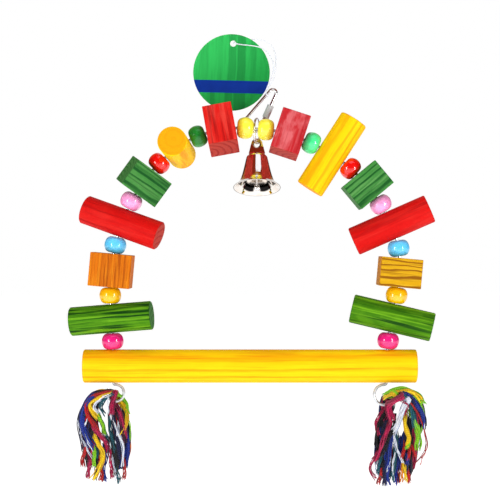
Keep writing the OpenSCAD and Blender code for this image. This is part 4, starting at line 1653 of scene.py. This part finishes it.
@dataclass(frozen=True)
class TiedCard:
    """The round card and the thread that ties it to the quick link."""

    card: PrintedCard = PrintedCard()
    thread: TieThread = TieThread()

    def build(self, dye: Material) -> None:
        """Lay the thread and print the card."""
        self.thread.build(dye)
        dress("hang_tag", self.card.material())


@dataclass(frozen=True)
class StripLight:
    """A tall soft strip beside the camera."""

    name: str
    azimuth: float
    elevation: float
    width: float = 0.1
    height: float = 0.42
    power: float = 3.4
    distance: float = 0.95
    mirrored: bool = True  # whether bright metal shows it

    def build(self, target: Vector) -> None:
        """Make the light and turn it to the object.

        Args:
            target: What it looks at.
        """
        lamp = bpy.data.lights.new(self.name, "AREA")
        lamp.shape, lamp.size, lamp.size_y = "RECTANGLE", self.width, self.height
        lamp.energy = self.power
        stand = add(self.name, lamp)
        stand.visible_glossy = self.mirrored
        a, e = math.radians(self.azimuth), math.radians(self.elevation)
        away = Vector((math.sin(a) * math.cos(e), -math.cos(a) * math.cos(e), math.sin(e)))
        stand.location = target + away * self.distance
        stand.rotation_euler = away.to_track_quat("Z", "Y").to_euler()


WHITE = (1.0, 1.0, 1.0, 1.0)


@dataclass(frozen=True)
class Wall:
    """A patch of the room that bright metal sees, by degrees from the camera's back.

    Each pair says over which degrees it comes, beyond or above, or goes, within or below.
    """

    colour: Colour
    beyond: Numbers = ()
    within: Numbers = ()
    above: Numbers = ()
    below: Numbers = ()
    middle: float = 0.0

    def share(self, p: Paint, turn: Signal, rise: Signal) -> Signal:
        """Give how much of a direction it covers.

        Args:
            p: The surroundings' tree.
            turn: The direction's turn to the side, in degrees.
            rise: Its rise above the level, in degrees.

        Returns:
            The share, from 0 to 1.
        """
        aside = abs(turn - self.middle)
        share: Value = 1.0
        for value, degrees, start, end in (
            (aside, self.beyond, 0.0, 1.0),
            (aside, self.within, 1.0, 0.0),
            (rise, self.above, 0.0, 1.0),
            (rise, self.below, 1.0, 0.0),
        ):
            if degrees:
                share = p.fade(value, *degrees, start, end) * share
        return share


@dataclass(frozen=True)
class Studio:
    """The camera, the lights, the pale floor and the surroundings."""

    eye: Vector = mm(-17.6, -1010.0, -123.0)
    lens: float = 94.1
    sensor: float = 36.0
    target: Vector = mm(-17.6, -10.0, -125.0)
    floor_z: float = -0.36
    floor_half: float = 6.0
    floor_glow: float = 0.72
    fill: float = 0.3
    dark: Colour = (0.03, 0.018, 0.014, 1.0)
    walls: tuple[Wall, ...] = (
        Wall((0.26, 0.028, 0.01, 1.0), above=(14.0, 26.0)),
        Wall((0.5, 0.24, 0.05, 1.0), above=(76.0, 84.0)),
        Wall((0.4, 0.19, 0.05, 1.0), beyond=(108.0, 118.0), above=(20.0, 27.0)),
        Wall(WHITE, beyond=(160.0, 168.0)),
        Wall(WHITE, beyond=(148.0, 156.0), below=(8.0, 11.0)),
        Wall(
            (1.2, 1.25, 1.35, 1.0), within=(41.0, 43.0), above=(50.0, 53.0),
            below=(74.0, 78.0), middle=19.0,
        ),
        Wall(WHITE, below=(-14.0, -10.0)),
    )
    strips: tuple[StripLight, ...] = (
        StripLight("strip_left", -43.0, 4.0),
        StripLight("strip_right", 43.0, 4.0),
        StripLight(
            "top_soft", 0.0, 72.0, width=0.9, height=0.5, power=4.2, distance=1.1, mirrored=False
        ),
    )

    def camera(self) -> None:
        """Set up the camera level, at the photograph's angle."""
        lens = bpy.data.cameras.new("camera")
        lens.lens, lens.sensor_width = self.lens, self.sensor
        lens.clip_start, lens.clip_end = 0.01, 50.0
        camera = add("camera", lens)
        camera.location = self.eye
        camera.rotation_euler = Euler((math.pi / 2, 0.0, 0.0))
        bpy.context.scene.camera = camera

    def floor(self) -> None:
        """Lay a pale floor below the swing."""
        bm = bmesh.new()
        level = Matrix.Translation((0, 0, self.floor_z))
        bmesh.ops.create_grid(
            bm, x_segments=4, y_segments=4, size=self.floor_half, matrix=level
        )
        p = Paint("pale_floor")
        here = p.node("ShaderNodeTexCoord", out="Object")
        grey = p.mix(p.noise(here, 3.0) * 0.2, linear(250, 250, 250), linear(244, 244, 244))
        glow = {"Emission_Color": WHITE, "Emission_Strength": self.floor_glow}
        plane = finished(bm, "floor", p.surface(grey, 0.9, **glow))

    def surroundings(self) -> None:
        """Give the camera a white room, and bright metal a room with dark and warm walls."""
        world = bpy.data.worlds.new("studio")
        bpy.context.scene.world = world
        p = Paint("studio", world)
        x, y, z = p.split(p.node("ShaderNodeTexCoord", out="Generated"))
        turn = p.math("ARCTAN2", x, y * -1.0) * (180 / math.pi)
        rise = p.math("ARCSINE", z) * (180 / math.pi)
        room: Value = self.dark
        for wall in self.walls:
            room = p.mix(wall.share(p, turn, rise), room, wall.colour)
        path = p.node("ShaderNodeLightPath", out="Is Camera Ray")
        plain = p.mix(path, (self.fill, self.fill, self.fill, 1.0), WHITE)
        seen = p.mix(path.out("Is Glossy Ray"), plain, room)
        p.close("World", p.node("ShaderNodeBackground", {"Color": seen, "Strength": 1.0}))

    def build(self) -> None:
        """Set up everything that isn't the object."""
        bpy.context.scene.view_settings.view_transform = "Standard"
        for strip in self.strips:
            strip.build(self.target)
        self.floor()
        self.surroundings()


def main() -> None:
    """Build the scene's classes in order."""
    logging.basicConfig(level=logging.INFO, format="%(name)s: %(message)s")
    studio = Studio()
    studio.camera()
    dyes = {name: dye.material() for name, dye in DYES.items()}
    TiedCard().build(dyes["white"])
    for tassel in TASSELS:
        tassel.build(dyes)
    ThreadedArch().build()
    Hanger().build()
    Bell().build()
    studio.build()


if __name__ == "__main__":
    main()
